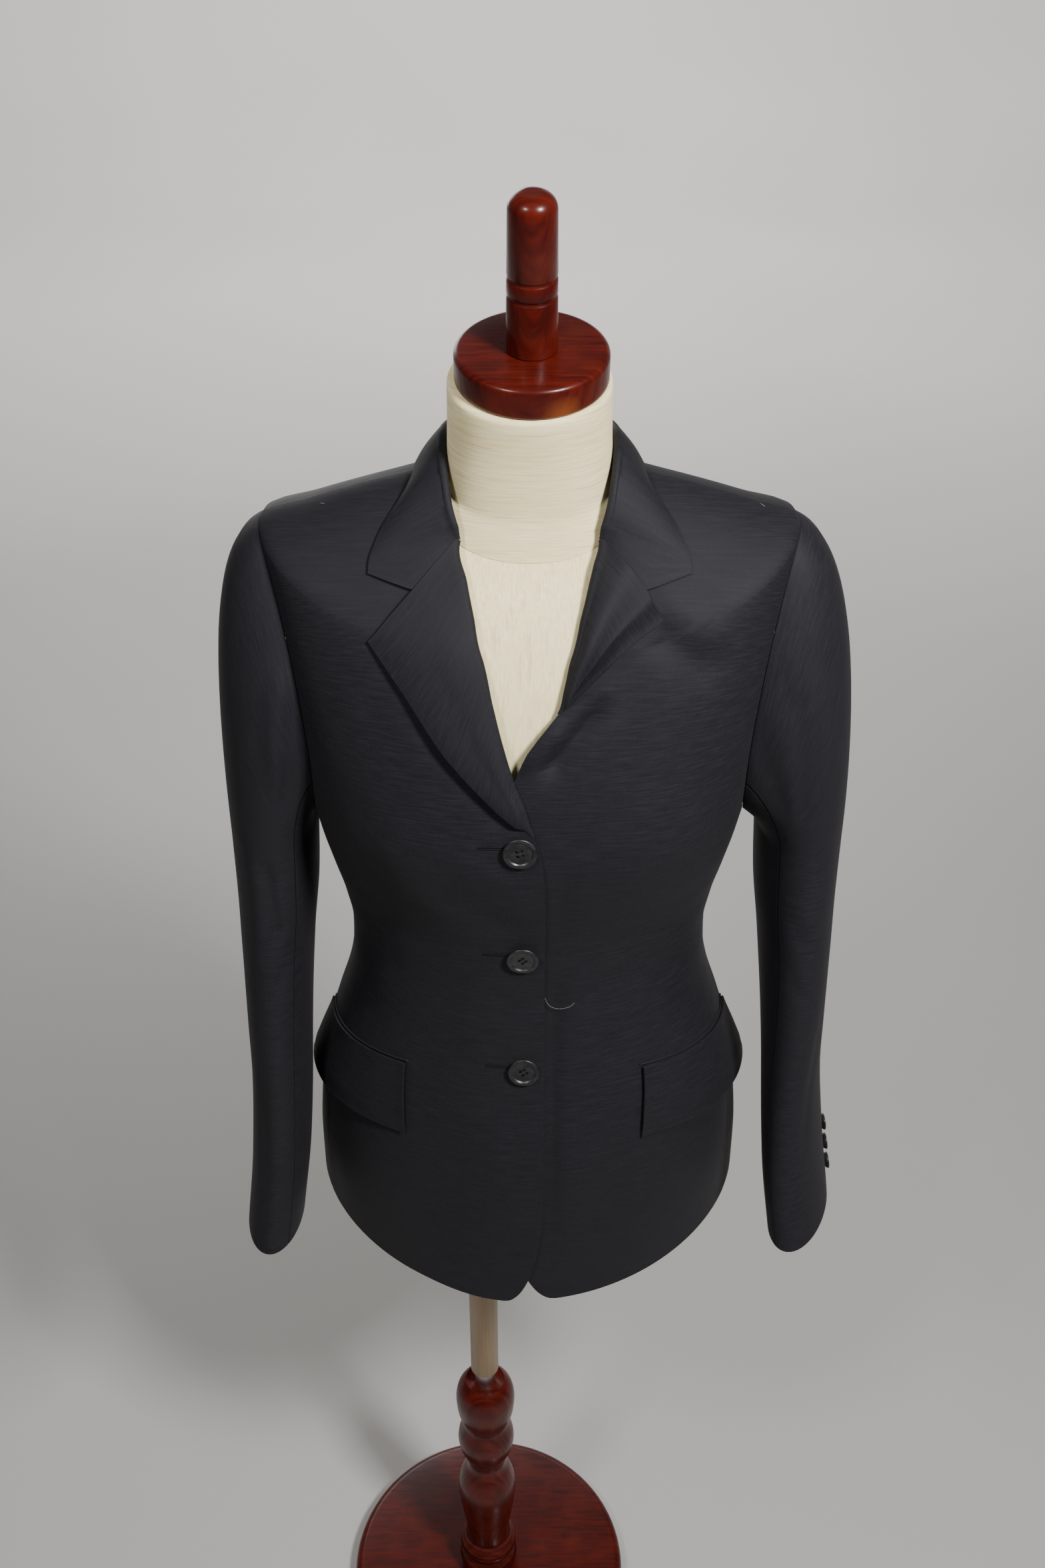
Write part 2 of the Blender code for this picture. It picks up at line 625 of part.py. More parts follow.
# Buttons
BUTTON_RIM, BUTTON_DISH = 0.78, 0.0011
HOLE_RADIUS, HOLE_PLACE = 0.0011, 0.0026


def button_profile(radius, thickness):
    rim = radius * BUTTON_RIM
    return [
        (0.0, thickness - BUTTON_DISH),
        (rim - 0.0008, thickness - BUTTON_DISH),
        (rim, thickness - 0.0002),
        (radius - 0.0009, thickness),
        (radius, thickness - 0.0012),
        (radius * 0.86, 0.0),
        (0.0, 0.0),
    ]


def seat(obj, point, normal):
    """Stands an object on a point, its Z along the normal."""
    z = unit(normal)
    x = unit(np.cross(np.array([0.0, 0.0, 1.0]), z))
    axes = np.stack([x, np.cross(z, x), z, point], axis=1)
    obj.matrix_world = Matrix([list(row) for row in axes] + [[0.0, 0.0, 0.0, 1.0]])


def front_button(index, finish):
    angle, level = on_front(*BUTTONS[index])
    point = coat_point(angle, level, right_lift(angle) + CLOTH + BUTTON_GAP)
    name = "front_button_%d" % (index + 1)
    button = turned(name, button_profile(BUTTON_RADIUS, BUTTON_THICKNESS), finish, 20)
    seat(button, point, coat_normal(angle, level))
    for i in range(4):
        turn = math.radians(45 + 90 * i)
        bm = bmesh.new()
        bmesh.ops.create_cone(
            bm, cap_ends=True, segments=6, radius1=HOLE_RADIUS, radius2=HOLE_RADIUS,
            depth=4 * BUTTON_THICKNESS,
        )
        shift = (HOLE_PLACE * math.cos(turn), HOLE_PLACE * math.sin(turn), BUTTON_THICKNESS / 2)
        bmesh.ops.translate(bm, verts=bm.verts, vec=shift)
        cutter = add_object("%s_hole_%d" % (name, i + 1), bm, finish)
        PARTS.objects.unlink(cutter)
        CUTTERS.objects.link(cutter)
        cutter.matrix_world = button.matrix_world.copy()
        cutter.hide_render = True
        cutter.display_type = "WIRE"
        cut = button.modifiers.new("hole", "BOOLEAN")
        cut.operation = "DIFFERENCE"
        cut.object = cutter


def cuff_button(side, index, finish):
    height = CUFF_BUTTON_HEIGHTS[index]
    point = sleeve_point(side, CUFF_BUTTON_TURN, height)
    ahead = sleeve_point(side, CUFF_BUTTON_TURN + 1, height) - point
    up = sleeve_point(side, CUFF_BUTTON_TURN, height + 0.004) - point
    normal = unit(np.cross(ahead, up)) * -side
    name = "cuff_button_%s_%d" % ("right" if side < 0 else "left", index + 1)
    profile = button_profile(CUFF_BUTTON_RADIUS, CUFF_BUTTON_THICKNESS)
    seat(turned(name, profile, finish, 12), point + normal * 2 * GAP, normal)


# Dress form
FORM_NECK = table(
    "share squareness half_width front back middle_y middle_z tilt",
    [
        (0.0, 2.60, 0.0594, 0.0530, 0.0560, 0.0000, 1.4080, 18.0),
        (0.5, 2.40, 0.0577, 0.0545, 0.0550, -0.0030, 1.4400, 14.0),
        (1.0, 2.05, 0.0567, 0.0555, 0.0555, NECK_TOP_Y, NECK_TOP_Z, 12.0),
    ],
)
FORM_STEPS = 28


def form_ring(level, clearance):
    """A ring of the form inside the coat."""
    ring = []
    for i in range(FORM_STEPS):
        angle = 360.0 * i / FORM_STEPS + 0.01
        angle = angle - 360.0 if angle > 180.0 else angle
        ring.append(coat_point(angle, level, -clearance))
    return ring


def neck_ring(share):
    row = {key: smooth(FORM_NECK["share"], FORM_NECK[key], share) for key in FORM_NECK}
    tilt, power = math.radians(row["tilt"]), 2 / row["squareness"]
    ring = []
    for i in range(FORM_STEPS):
        turn = 2 * math.pi * i / FORM_STEPS
        c, s = (math.copysign(abs(v) ** power, v) for v in (math.cos(turn), math.sin(turn)))
        reach = -c * row["front" if c > 0 else "back"]
        ring.append(
            (
                FORM_X + s * row["half_width"],
                row["middle_y"] + reach * math.cos(tilt),
                row["middle_z"] + reach * math.sin(tilt),
            )
        )
    return ring


def dress_form(finish):
    """The padded torso and neck. The coat hangs from its shoulders and is clear of it below."""
    levels = spaced(FORM_BOTTOM_Z, 1.30, 12) + [1.325, 1.350, 1.374] + list(SHOULDER_LEVELS)
    rings = []
    for level in levels:
        on_shoulder = ramp(1.25, 1.37, level) - 0.7 * ramp(1.404, 1.461, level)
        clearance = FORM_CLEARANCE + (SHOULDER_CLEARANCE - FORM_CLEARANCE) * on_shoulder
        rings.append(form_ring(level, clearance))
    for point in rings[0]:
        point[2] = FORM_BOTTOM_Z
    rings += [neck_ring(share) for share in spaced(0.0, 1.0, 4)]
    return closed_loft("form_torso", rings, finish)


def tilted(obj, origin):
    """Leans an object forward with the neck and stands it on origin."""
    obj.rotation_euler = (NECK_TILT, 0.0, 0.0)
    obj.location = origin


def arc(centre_r, centre_z, radius, start, end, count):
    """Points of a turned profile round an arc, in degrees from outward."""
    return [
        (
            centre_r + radius * math.cos(math.radians(turn)),
            centre_z + radius * math.sin(math.radians(turn)),
        )
        for turn in spaced(start, end, count)
    ]


def neck_cap(finish):
    edge = 0.0045
    profile = (
        [(0.0, CAP_THICKNESS)]
        + arc(CAP_RADIUS - edge, CAP_THICKNESS - edge, edge, 90, 0, 4)
        + [(CAP_RADIUS, 0.003), (CAP_RADIUS - 0.002, 0.0), (0.0, 0.0)]
    )
    cap = turned("neck_cap", profile, finish, 32)
    tilted(cap, neck_axis(GAP))


def neck_axis(distance):
    """A point on the neck's leaning axis, above the top of the neck."""
    return (
        FORM_X + NECK_SHIFT,
        NECK_TOP_Y - distance * math.sin(NECK_TILT),
        NECK_TOP_Z + distance * math.cos(NECK_TILT),
    )


def finial(finish):
    dome = 0.0105
    groove = 0.0012
    profile = [(0.0, FINIAL_LENGTH)] + arc(
        FINIAL_TOP_RADIUS - dome, FINIAL_LENGTH - dome, dome, 90, 0, 6
    )
    for height in (0.0545, 0.0415):
        radius = FINIAL_RADIUS + (FINIAL_TOP_RADIUS - FINIAL_RADIUS) * height / FINIAL_LENGTH
        profile += [(radius, height), (radius - groove, height - 0.0015), (radius, height - 0.003)]
    profile += [(FINIAL_RADIUS, 0.0), (0.0, 0.0)]
    post = turned("finial", profile, finish, 20)
    tilted(post, neck_axis(CAP_THICKNESS + 2 * GAP))


# Stand
NEWEL = [
    (0.0105, NEWEL_TOP_Z - 0.004),
    (0.0170, NEWEL_TOP_Z - 0.002),
    (0.0205, NEWEL_TOP_Z),
    (0.0240, NEWEL_TOP_Z - 0.004),
    (0.0295, 0.3560),
    (0.0314, 0.3420),
    (0.0302, 0.3240),
    (0.0262, 0.3060),
    (0.0250, 0.3000),
    (0.0262, 0.2940),
    (0.0296, 0.2820),
    (0.0305, 0.2720),
    (0.0292, 0.2600),
    (0.0255, 0.2480),
    (0.0222, 0.2400),
    (0.0205, 0.2300),
    (0.0215, 0.2220),
    (0.0270, 0.2090),
    (0.0312, 0.1930),
    (0.0320, 0.1780),
    (0.0305, 0.1580),
    (0.0270, 0.1300),
    (0.0244, 0.1060),
    (0.0240, 0.0920),
    (0.0262, 0.0850),
    (0.0308, 0.0800),
    (0.0318, 0.0730),
    (0.0296, 0.0665),
    (0.0275, 0.0620),
    (0.0315, 0.0560),
    (0.0330, 0.0480),
    (0.0320, 0.0400),
    (0.0300, BASE_THICKNESS + GAP),
    (0.0, BASE_THICKNESS + GAP),
]


def stand(wood, tube, steel):
    newel = [(0.0, NEWEL_TOP_Z - 0.004)] + NEWEL
    turned("newel_post", newel, wood, 22)
    steel_foot = NEWEL_TOP_Z - 0.004 + GAP
    turned(
        "steel_tube",
        [(0.0, POLE_BOTTOM_Z - GAP), (STEEL_RADIUS, POLE_BOTTOM_Z - GAP), (STEEL_RADIUS, steel_foot),
         (0.0, steel_foot)],
        steel, 20,
    )
    pole_top = FORM_BOTTOM_Z - FLANGE_THICKNESS - 2 * GAP
    turned(
        "pole",
        [(0.0, pole_top), (POLE_RADIUS, pole_top), (POLE_RADIUS, POLE_BOTTOM_Z + 0.001),
         (POLE_RADIUS - 0.001, POLE_BOTTOM_Z), (0.0, POLE_BOTTOM_Z)],
        tube, 24,
    )
    flange_low = pole_top + GAP
    flange_high = flange_low + FLANGE_THICKNESS
    turned(
        "pole_flange",
        [(0.0, flange_high), (FLANGE_RADIUS, flange_high), (FLANGE_RADIUS, flange_low + 0.003),
         (FLANGE_RADIUS - 0.003, flange_low), (0.0, flange_low)],
        steel, 24,
    )
    base = (
        [(0.0, BASE_THICKNESS)]
        + arc(BASE_RADIUS - BASE_EDGE, BASE_THICKNESS - BASE_EDGE, BASE_EDGE, 90, 0, 5)
        + [(BASE_RADIUS, 0.003), (BASE_RADIUS - 0.002, 0.0), (0.0, 0.0)]
    )
    turned("base_disc", base, wood, 40)


def build():
    wool = material("charcoal_wool", (0.020, 0.020, 0.024), 0.75)
    horn = material("black_button", (0.012, 0.012, 0.013), 0.35)
    linen = material("cream_linen", (0.78, 0.70, 0.53), 0.85)
    wood = material("mahogany_lacquer", (0.070, 0.008, 0.006), 0.18)
    tube = material("champagne_tube", (0.52, 0.42, 0.28), 0.35, 0.6)
    steel = material("steel", (0.60, 0.60, 0.62), 0.25, 1.0)
    for side in (-1, 1):
        front_panel(side, wool)
        side_panel(side, wool)
        back_panel(side, wool)
        lapel(side, wool)
        sleeve(side, wool)
        pocket_flap(side, wool)
        for index in range(len(CUFF_BUTTON_HEIGHTS)):
            cuff_button(side, index, horn)
    collar(wool)
    for index in range(len(BUTTONS)):
        front_button(index, horn)
    dress_form(linen)
    neck_cap(wood)
    finial(wood)
    stand(wood, tube, steel)


clear_scene()
PARTS = bpy.data.collections.new("show_coat")
CUTTERS = bpy.data.collections.new("cutters")
for group in (PARTS, CUTTERS):
    bpy.context.scene.collection.children.link(group)
CUTTERS.hide_render = True
build()
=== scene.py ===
"""The show coat on its dress form: cloth, linen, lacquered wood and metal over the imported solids.

Angles, levels and turns are those of the part: angles round the coat are in degrees from centre
front, positive towards the wearer's left, and turns go round a sleeve or an armhole. Side -1 is the
wearer's right. Reliefs are in metres, out of the cloth's outer face.
"""

import itertools
import math

import bmesh
import bpy
import numpy as np
from mathutils import Matrix, Vector


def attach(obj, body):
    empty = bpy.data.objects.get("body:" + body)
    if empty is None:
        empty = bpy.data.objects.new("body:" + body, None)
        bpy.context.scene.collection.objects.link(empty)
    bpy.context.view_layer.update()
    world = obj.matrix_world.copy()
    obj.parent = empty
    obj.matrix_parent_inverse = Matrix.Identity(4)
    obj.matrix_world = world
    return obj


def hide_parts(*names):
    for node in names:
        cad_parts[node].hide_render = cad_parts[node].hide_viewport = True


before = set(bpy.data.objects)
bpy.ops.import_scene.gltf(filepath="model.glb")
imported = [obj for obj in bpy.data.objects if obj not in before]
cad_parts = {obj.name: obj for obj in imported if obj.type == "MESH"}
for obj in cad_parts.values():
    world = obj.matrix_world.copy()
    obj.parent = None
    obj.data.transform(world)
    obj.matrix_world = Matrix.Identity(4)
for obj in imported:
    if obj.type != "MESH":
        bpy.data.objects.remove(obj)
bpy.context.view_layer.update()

# Sizes shared with the solids
FORM_X = 0.045  # the form's middle, beside the pole's axis
CLOTH = 0.002
GAP = 0.0003  # between pieces of wood, metal and horn
LAY = 0.0009  # between a piece and the cloth that it lies on
SHOULDER_LEVEL, ARMHOLE_BOTTOM = 1.374, 1.135
ARMHOLE_REACH, ARMHOLE_FULLNESS = 26.0, 0.55
HEM_LEVEL, TOP_LEVEL = 0.700, 1.494
BUST_ANGLE, BUST_WIDTH = 36.0, 20.0
BUST_Z, BUST_HEIGHT, BUST_FULLNESS = 1.160, 0.055, 0.009
EDGE_X = {-1: 0.0122, 1: -0.0180}  # of each front's straight edge, from the form's middle
CORNER = {-1: (0.033, 0.115), 1: (0.042, 0.125)}  # width and height of each round hem corner
OVERLAP_LIFT = CLOTH + 2 * GAP
OVERLAP_FULL, OVERLAP_NONE = -12.0, -32.0
RIDGE_HEIGHT, RIDGE_WIDTH = 0.0045, 3.5  # of the left front's roll; the width is an angle

SEAM = 0.00004  # narrower than between the solids: the panels all but meet
HANDS = {-1: "right", 1: "left"}
UP = np.array([0.0, 0.0, 1.0])


def table(columns, rows):
    """A short table as {column: values}."""
    return {name: [row[i] for row in rows] for i, name in enumerate(columns.split())}


def smooth(xs, ys, x):
    """A curve through the points (xs, ys) that doesn't overshoot, read at x."""
    steps = [(ys[i + 1] - ys[i]) / (xs[i + 1] - xs[i]) for i in range(len(xs) - 1)]
    last = len(steps) - 1
    i = max(0, min(last, sum(1 for value in xs if value <= x) - 1))

    def slope(k):
        if k in (0, last + 1):
            return steps[min(k, last)]
        before, after = steps[k - 1], steps[k]
        return 0.0 if before * after <= 0 else 2 * before * after / (before + after)

    width = xs[i + 1] - xs[i]
    t = (x - xs[i]) / width
    return (
        ys[i] * (1 + 2 * t) * (1 - t) ** 2
        + ys[i + 1] * t * t * (3 - 2 * t)
        + width * (slope(i) * t * (1 - t) ** 2 - slope(i + 1) * t * t * (1 - t))
    )


def ramp(low, high, x):
    """0 at low, 1 at high, smooth between."""
    t = max(0.0, min(1.0, (x - low) / (high - low)))
    return t * t * (3 - 2 * t)


def unit(v):
    return v / np.linalg.norm(v)


def blend(a, b, share):
    return a + (b - a) * share


def between(low, high, share):
    """The points a share of the way from one row to another."""
    return [blend(a, b, share) for a, b in zip(low, high)]


def compass(turn):
    """The cosine and sine of a turn in degrees."""
    return math.cos(math.radians(turn)), math.sin(math.radians(turn))


def spaced(low, high, count):
    return [low + (high - low) * i / (count - 1) for i in range(count)]


def finer(values, times):
    """A rising or falling list with more steps: each step is cut into times."""
    pairs = zip(values, values[1:])
    made = [low + (high - low) * i / times for low, high in pairs for i in range(times)]
    return made + [values[-1]]


# The coat's body
COAT = table(
    "level squareness half_width front back front_z side_z back_z",
    [
        (0.700, 1.88, 0.1890, 0.150, 0.152, 0.692, 0.722, 0.712),
        (0.775, 1.97, 0.1880, 0.145, 0.150, 0.770, 0.778, 0.776),
        (0.832, 2.00, 0.1835, 0.140, 0.146, 0.830, 0.832, 0.832),
        (0.876, 2.00, 0.1765, 0.134, 0.138, 0.876, 0.876, 0.876),
        (0.915, 2.05, 0.1655, 0.127, 0.126, 0.915, 0.915, 0.915),
        (0.953, 2.05, 0.1535, 0.121, 0.115, 0.953, 0.953, 0.953),
        (0.985, 2.10, 0.1470, 0.117, 0.108, 0.985, 0.985, 0.985),
        (1.018, 2.10, 0.1455, 0.114, 0.106, 1.018, 1.018, 1.018),
        (1.055, 2.10, 0.1510, 0.115, 0.108, 1.055, 1.055, 1.055),
        (1.089, 2.15, 0.1590, 0.120, 0.113, 1.086, 1.089, 1.089),
        (1.122, 2.15, 0.1665, 0.127, 0.118, 1.114, 1.122, 1.122),
        (1.165, 2.20, 0.1735, 0.131, 0.121, 1.150, 1.165, 1.163),
        (1.220, 2.25, 0.1790, 0.128, 0.123, 1.194, 1.220, 1.214),
        (1.280, 2.30, 0.1850, 0.120, 0.122, 1.240, 1.280, 1.262),
        (1.340, 2.30, 0.1905, 0.107, 0.114, 1.282, 1.339, 1.306),
        (1.374, 2.30, 0.1930, 0.096, 0.105, 1.308, 1.371, 1.330),
        (1.410, 2.30, 0.1600, 0.083, 0.092, 1.330, 1.383, 1.346),
        (1.450, 2.30, 0.1180, 0.069, 0.079, 1.350, 1.396, 1.364),
        (1.494, 2.30, 0.0700, 0.056, 0.066, 1.368, 1.408, 1.390),
    ],
)
ROLL_RIDGE = table("level angle", [(1.27, 2.5), (1.30, 6.0), (1.33, 9.5), (1.37, 14.0)])


def section(column, level):
    return smooth(COAT["level"], COAT[column], level)


def coat_surface(angle, level):
    """The coat's inner face, from the form's middle."""
    c, s = compass(angle)
    end = "front" if c > 0 else "back"
    power = 2 / section("squareness", level)
    x = math.copysign(section("half_width", level) * abs(s) ** power, s)
    y = math.copysign(section(end, level) * abs(c) ** power, -c)
    z = blend(section("side_z", level), section(end + "_z", level), abs(c) ** 1.5)
    across = math.exp(-(((abs(angle) - BUST_ANGLE) / BUST_WIDTH) ** 2))
    y -= BUST_FULLNESS * across * math.exp(-(((z - BUST_Z) / BUST_HEIGHT) ** 2))
    return np.array([x, y, z])


def coat_normal(angle, level):
    """Outward from the coat's face."""
    around = coat_surface(angle + 0.5, level) - coat_surface(angle - 0.5, level)
    up = coat_surface(angle, level + 0.002) - coat_surface(angle, level - 0.002)
    return unit(np.cross(around, up))


def coat_point(angle, level, out=0.0):
    """A point out metres outside the coat's inner face."""
    point = coat_surface(angle, level) + coat_normal(angle, level) * out
    return point + np.array([FORM_X, 0.0, 0.0])


def angle_of(x, level):
    """The angle at which the front is x from the form's middle."""
    share = min(1.0, abs(x) / section("half_width", level))
    power = section("squareness", level) / 2
    return math.copysign(math.degrees(math.asin(share**power)), x)


def on_front(x, z):
    """(angle, level) of the front at x from the form's middle and height z."""
    low, high = HEM_LEVEL - 0.02, TOP_LEVEL
    for _ in range(16):
        level = (low + high) / 2
        if coat_surface(angle_of(x, level), level)[2] < z:
            low = level
        else:
            high = level
    return angle_of(x, level), level


def lift_of(side, angle, level):
    """How far a front's cloth stands off the coat's face: over the other front, or at its roll."""
    if side < 0:
        return OVERLAP_LIFT * ramp(OVERLAP_NONE, OVERLAP_FULL, angle)
    across = (angle - smooth(ROLL_RIDGE["level"], ROLL_RIDGE["angle"], level)) / RIDGE_WIDTH
    window = ramp(1.262, 1.300, level) * (1 - ramp(1.315, 1.370, level))
    return RIDGE_HEIGHT * window * math.exp(-(across**2))


def front_point(side, place, out):
    """A point out metres off a front's outer face, at a place of (angle, level)."""
    return coat_point(*place, lift_of(side, *place) + CLOTH + out)


# Soft creases: a path of (x, height) on a front or back, its half-width and how far it stands out
FRONT_CREASES = {
    -1: [
        ([(-0.085, 1.285), (-0.052, 1.243), (-0.020, 1.207), (0.002, 1.190)], 0.011, -0.0028),
        ([(-0.085, 1.150), (-0.050, 1.118), (-0.024, 1.096), (0.004, 1.088)], 0.013, -0.0030),
        ([(-0.060, 1.165), (-0.035, 1.150), (-0.012, 1.132), (0.006, 1.118)], 0.010, 0.0012),
        ([(-0.105, 1.160), (-0.109, 1.100), (-0.109, 1.040), (-0.104, 0.960)], 0.0022, -0.0007),
        ([(-0.135, 1.215), (-0.118, 1.160), (-0.108, 1.110)], 0.013, -0.0016),
        ([(-0.060, 0.900), (-0.064, 0.830), (-0.060, 0.760)], 0.020, -0.0014),
        ([(-0.022, 0.905), (-0.020, 0.840), (-0.016, 0.780)], 0.014, 0.0010),
    ],
    1: [
        ([(0.0560, 1.2860), (0.0360, 1.2609), (0.0213, 1.2415), (0.0066, 1.2240)], 0.0080, -0.0085),
        ([(0.0240, 1.2690), (0.0150, 1.2570), (0.0040, 1.2430), (-0.0060, 1.2300)], 0.0060, 0.0034),
        ([(0.082, 1.352), (0.1092, 1.3302), (0.1386, 1.3048)], 0.0085, 0.0022),
        ([(0.078, 1.332), (0.108, 1.308), (0.142, 1.282)], 0.0130, -0.0036),
        ([(0.105, 1.160), (0.109, 1.100), (0.109, 1.040), (0.104, 0.960)], 0.0022, -0.0008),
        ([(0.0240, 1.155), (0.0255, 1.120), (0.0235, 1.075)], 0.0080, -0.0016),
        ([(0.0185, 1.060), (0.0190, 0.880), (0.0175, 0.750)], 0.0060, -0.0040),
        ([(0.125, 1.225), (0.142, 1.180), (0.150, 1.120)], 0.0130, -0.0020),
        ([(0.060, 0.900), (0.066, 0.830), (0.062, 0.760)], 0.020, -0.0014),
    ],
}
BACK_CREASES = [
    ([(-0.060, 1.050), (-0.020, 1.032), (0.020, 1.034), (0.062, 1.052)], 0.008, -0.0018),
    ([(-0.045, 1.010), (0.000, 0.998), (0.045, 1.012)], 0.007, -0.0014),
    ([(-0.100, 1.300), (-0.085, 1.230), (-0.080, 1.150)], 0.012, -0.0020),
    ([(0.100, 1.300), (0.086, 1.230), (0.082, 1.150)], 0.012, -0.0020),
    ([(-0.085, 0.930), (-0.090, 0.840), (-0.086, 0.750)], 0.018, -0.0022),
    ([(0.085, 0.930), (0.090, 0.840), (0.086, 0.750)], 0.018, -0.0022),
    ([(-0.035, 0.910), (-0.038, 0.830), (-0.036, 0.740)], 0.016, 0.0014),
    ([(0.035, 0.910), (0.038, 0.830), (0.036, 0.740)], 0.016, 0.0014),
]
# The same on a sleeve, as (turn, height)
SLEEVE_CREASES = {
    -1: [
        ([(69, 1.311), (78, 1.259), (87, 1.223), (99, 1.188), (106, 1.158)], 0.0055, 0.0038),
        ([(84, 1.276), (93, 1.234), (105, 1.187)], 0.0050, 0.0020),
        ([(76, 1.300), (90, 1.246), (103, 1.196), (117, 1.141)], 0.0055, -0.0044),
        ([(88, 1.115), (93, 1.088), (102, 1.023)], 0.0070, -0.0034),
        ([(70, 1.140), (74, 1.060), (80, 0.990)], 0.0090, 0.0020),
        ([(110, 1.060), (92, 1.030), (70, 1.015)], 0.0070, -0.0024),
        ([(118, 1.010), (98, 0.985), (78, 0.975)], 0.0060, -0.0020),
        ([(60, 0.930), (66, 0.860), (70, 0.790)], 0.0080, -0.0018),
    ],
    1: [
        ([(66, 1.290), (76, 1.235), (88, 1.180), (98, 1.130)], 0.0060, -0.0018),
        ([(50, 1.280), (58, 1.220), (68, 1.160)], 0.0070, 0.0010),
        ([(96, 1.255), (108, 1.190), (116, 1.140)], 0.0055, -0.0018),
        ([(108, 1.060), (90, 1.030), (66, 1.018)], 0.0070, -0.0014),
        ([(112, 1.005), (96, 0.985), (76, 0.975)], 0.0060, -0.0010),
        ([(40, 0.960), (48, 0.880), (52, 0.800)], 0.0080, -0.0010),
    ],
}
SLEEVE_BACK_CREASES = [
    ([(235, 1.190), (255, 1.130), (262, 1.060)], 0.0070, -0.0020),
    ([(250, 1.020), (275, 1.000), (300, 0.995)], 0.0065, -0.0014),
    ([(205, 1.150), (212, 1.080), (216, 1.000)], 0.0080, -0.0016),
    ([(300, 1.250), (306, 1.180), (304, 1.110)], 0.0080, -0.0014),
]
SLEEVE_GIRTH_RADIUS = 0.048  # turns a sleeve's turn into metres, for the distance to a crease


def crease(path, width, depth, u, v):
    """The relief at (u, v) of one soft crease, which fades out towards its ends."""
    place = np.array([u, v])
    points = [np.array(point) for point in path]
    best, where = 1.0, 0.0
    for i, (a, b) in enumerate(zip(points, points[1:])):
        run = b - a
        t = min(1.0, max(0.0, float((place - a) @ run / (run @ run))))
        away = float(np.linalg.norm(place - a - run * t))
        if away < best:
            best, where = away, (i + t) / (len(points) - 1)
    if best > 3 * width:
        return 0.0
    fade = ramp(0.0, 0.28, where) * ramp(0.0, 0.28, 1 - where)
    return depth * math.exp(-((best / width) ** 2)) * fade


def sleeve_relief(side, turn, z):
    total = 0.0
    around = turn % 360.0
    for path, width, depth in SLEEVE_CREASES[side] + SLEEVE_BACK_CREASES:
        metres = [(math.radians(at) * SLEEVE_GIRTH_RADIUS, height) for at, height in path]
        total += crease(metres, width, depth, math.radians(around) * SLEEVE_GIRTH_RADIUS, z)
    return total


def body_relief(creases, angle, level):
    x, _, z = coat_surface(angle, level)
    return sum(crease(path, width, depth, x, z) for path, width, depth in creases)


# Making pieces
def mesh_of(name, bm):
    """The mesh of a bmesh that isn't needed any more."""
    mesh = bpy.data.meshes.new(name)
    bm.to_mesh(mesh)
    bm.free()
    return mesh


def placed(name, data):
    made = bpy.data.objects.new(name, data)
    bpy.context.scene.collection.objects.link(made)
    return made


def coated(name, bm, finish):
    """A smooth object of one finish."""
    mesh = mesh_of(name, bm)
    mesh.materials.append(finish)
    mesh.shade_smooth()
    return placed(name, mesh)


def piece(name, bm, finish, nodes=()):
    """An object of the scene that rides on the part, in place of the solids named."""
    made = coated(name, bm, finish)
    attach(made, "root")
    if nodes:
        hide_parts(*nodes)
    return made


def lengths(points):
    """How far along a row each of its points is, in metres."""
    gone = [0.0]
    for a, b in zip(points, points[1:]):
        gone.append(gone[-1] + float(np.linalg.norm(b - a)))
    return gone


def cut_size(rows):
    """(width, length) of the cloth's cut, and its area."""
    wide = max(lengths(row)[-1] for row in rows)
    tall = max(lengths(column)[-1] for column in zip(*rows))
    area = 0.0
    for low, high in zip(rows, rows[1:]):
        for a, b, c, d in zip(low, low[1:], high[1:], high):
            area += float(np.linalg.norm(np.cross(c - a, d - b))) / 2
    return (wide, tall), min(area, wide * tall)


def cloth(
    name, rows, finish, node, thickness=CLOTH, offset=1.0, rests_on=("linen_form",), grain=None,
    fullness=None,
):
    """A piece of cloth through rows of points, with rounded edges.

    Its weave lies along the rows, or level where grain gives a point's place up the cut. Fullness
    is each row's share of the thickness.
    """
    across, up = len(rows[0]), len(rows)
    bm = bmesh.new()
    bmesh.ops.create_grid(bm, x_segments=across - 1, y_segments=up - 1, size=0.5)
    order = sorted(bm.verts, key=lambda v: (round(v.co.y, 6), round(v.co.x, 6)))
    middle = lengths([row[across // 2] for row in rows])
    places = [0] * len(order)
    weave = {}
    for j, row in enumerate(rows):
        gone = lengths(row)
        for i, point in enumerate(row):
            vert = order[j * across + i]
            vert.co = point
            places[vert.index] = j * across + i
            weave[vert.index] = (gone[i] - gone[across // 2], grain(point) if grain else middle[j])
    lay = bm.loops.layers.uv.new("weave")
    for face in bm.faces:
        for loop in face.loops:
            loop[lay].uv = weave[loop.vert.index]
    made = piece(name, bm, finish, (node,))
    shell = made.modifiers.new("thickness", "SOLIDIFY")
    shell.thickness = thickness
    shell.offset = offset
    if fullness:
        full = made.vertex_groups.new(name="fullness")
        for index, place in enumerate(places):
            full.add([index], fullness[place // across], "REPLACE")
        shell.vertex_group = "fullness"
    edge = made.modifiers.new("turned_edge", "BEVEL")
    edge.width = thickness * 0.36
    edge.segments = 2
    edge.limit_method = "ANGLE"
    edge.angle_limit = math.radians(50)
    edge.harden_normals = True
    flat, area = cut_size(rows)


def side_cloth(side, name, node, rows, finish, **ways):
    """A piece of cloth of one side, through rows that are in order for the wearer's left."""
    hand = HANDS[side]
    cloth(f"{name}_{hand}", [row[::side] for row in rows], finish, f"{node}_{hand}", **ways)


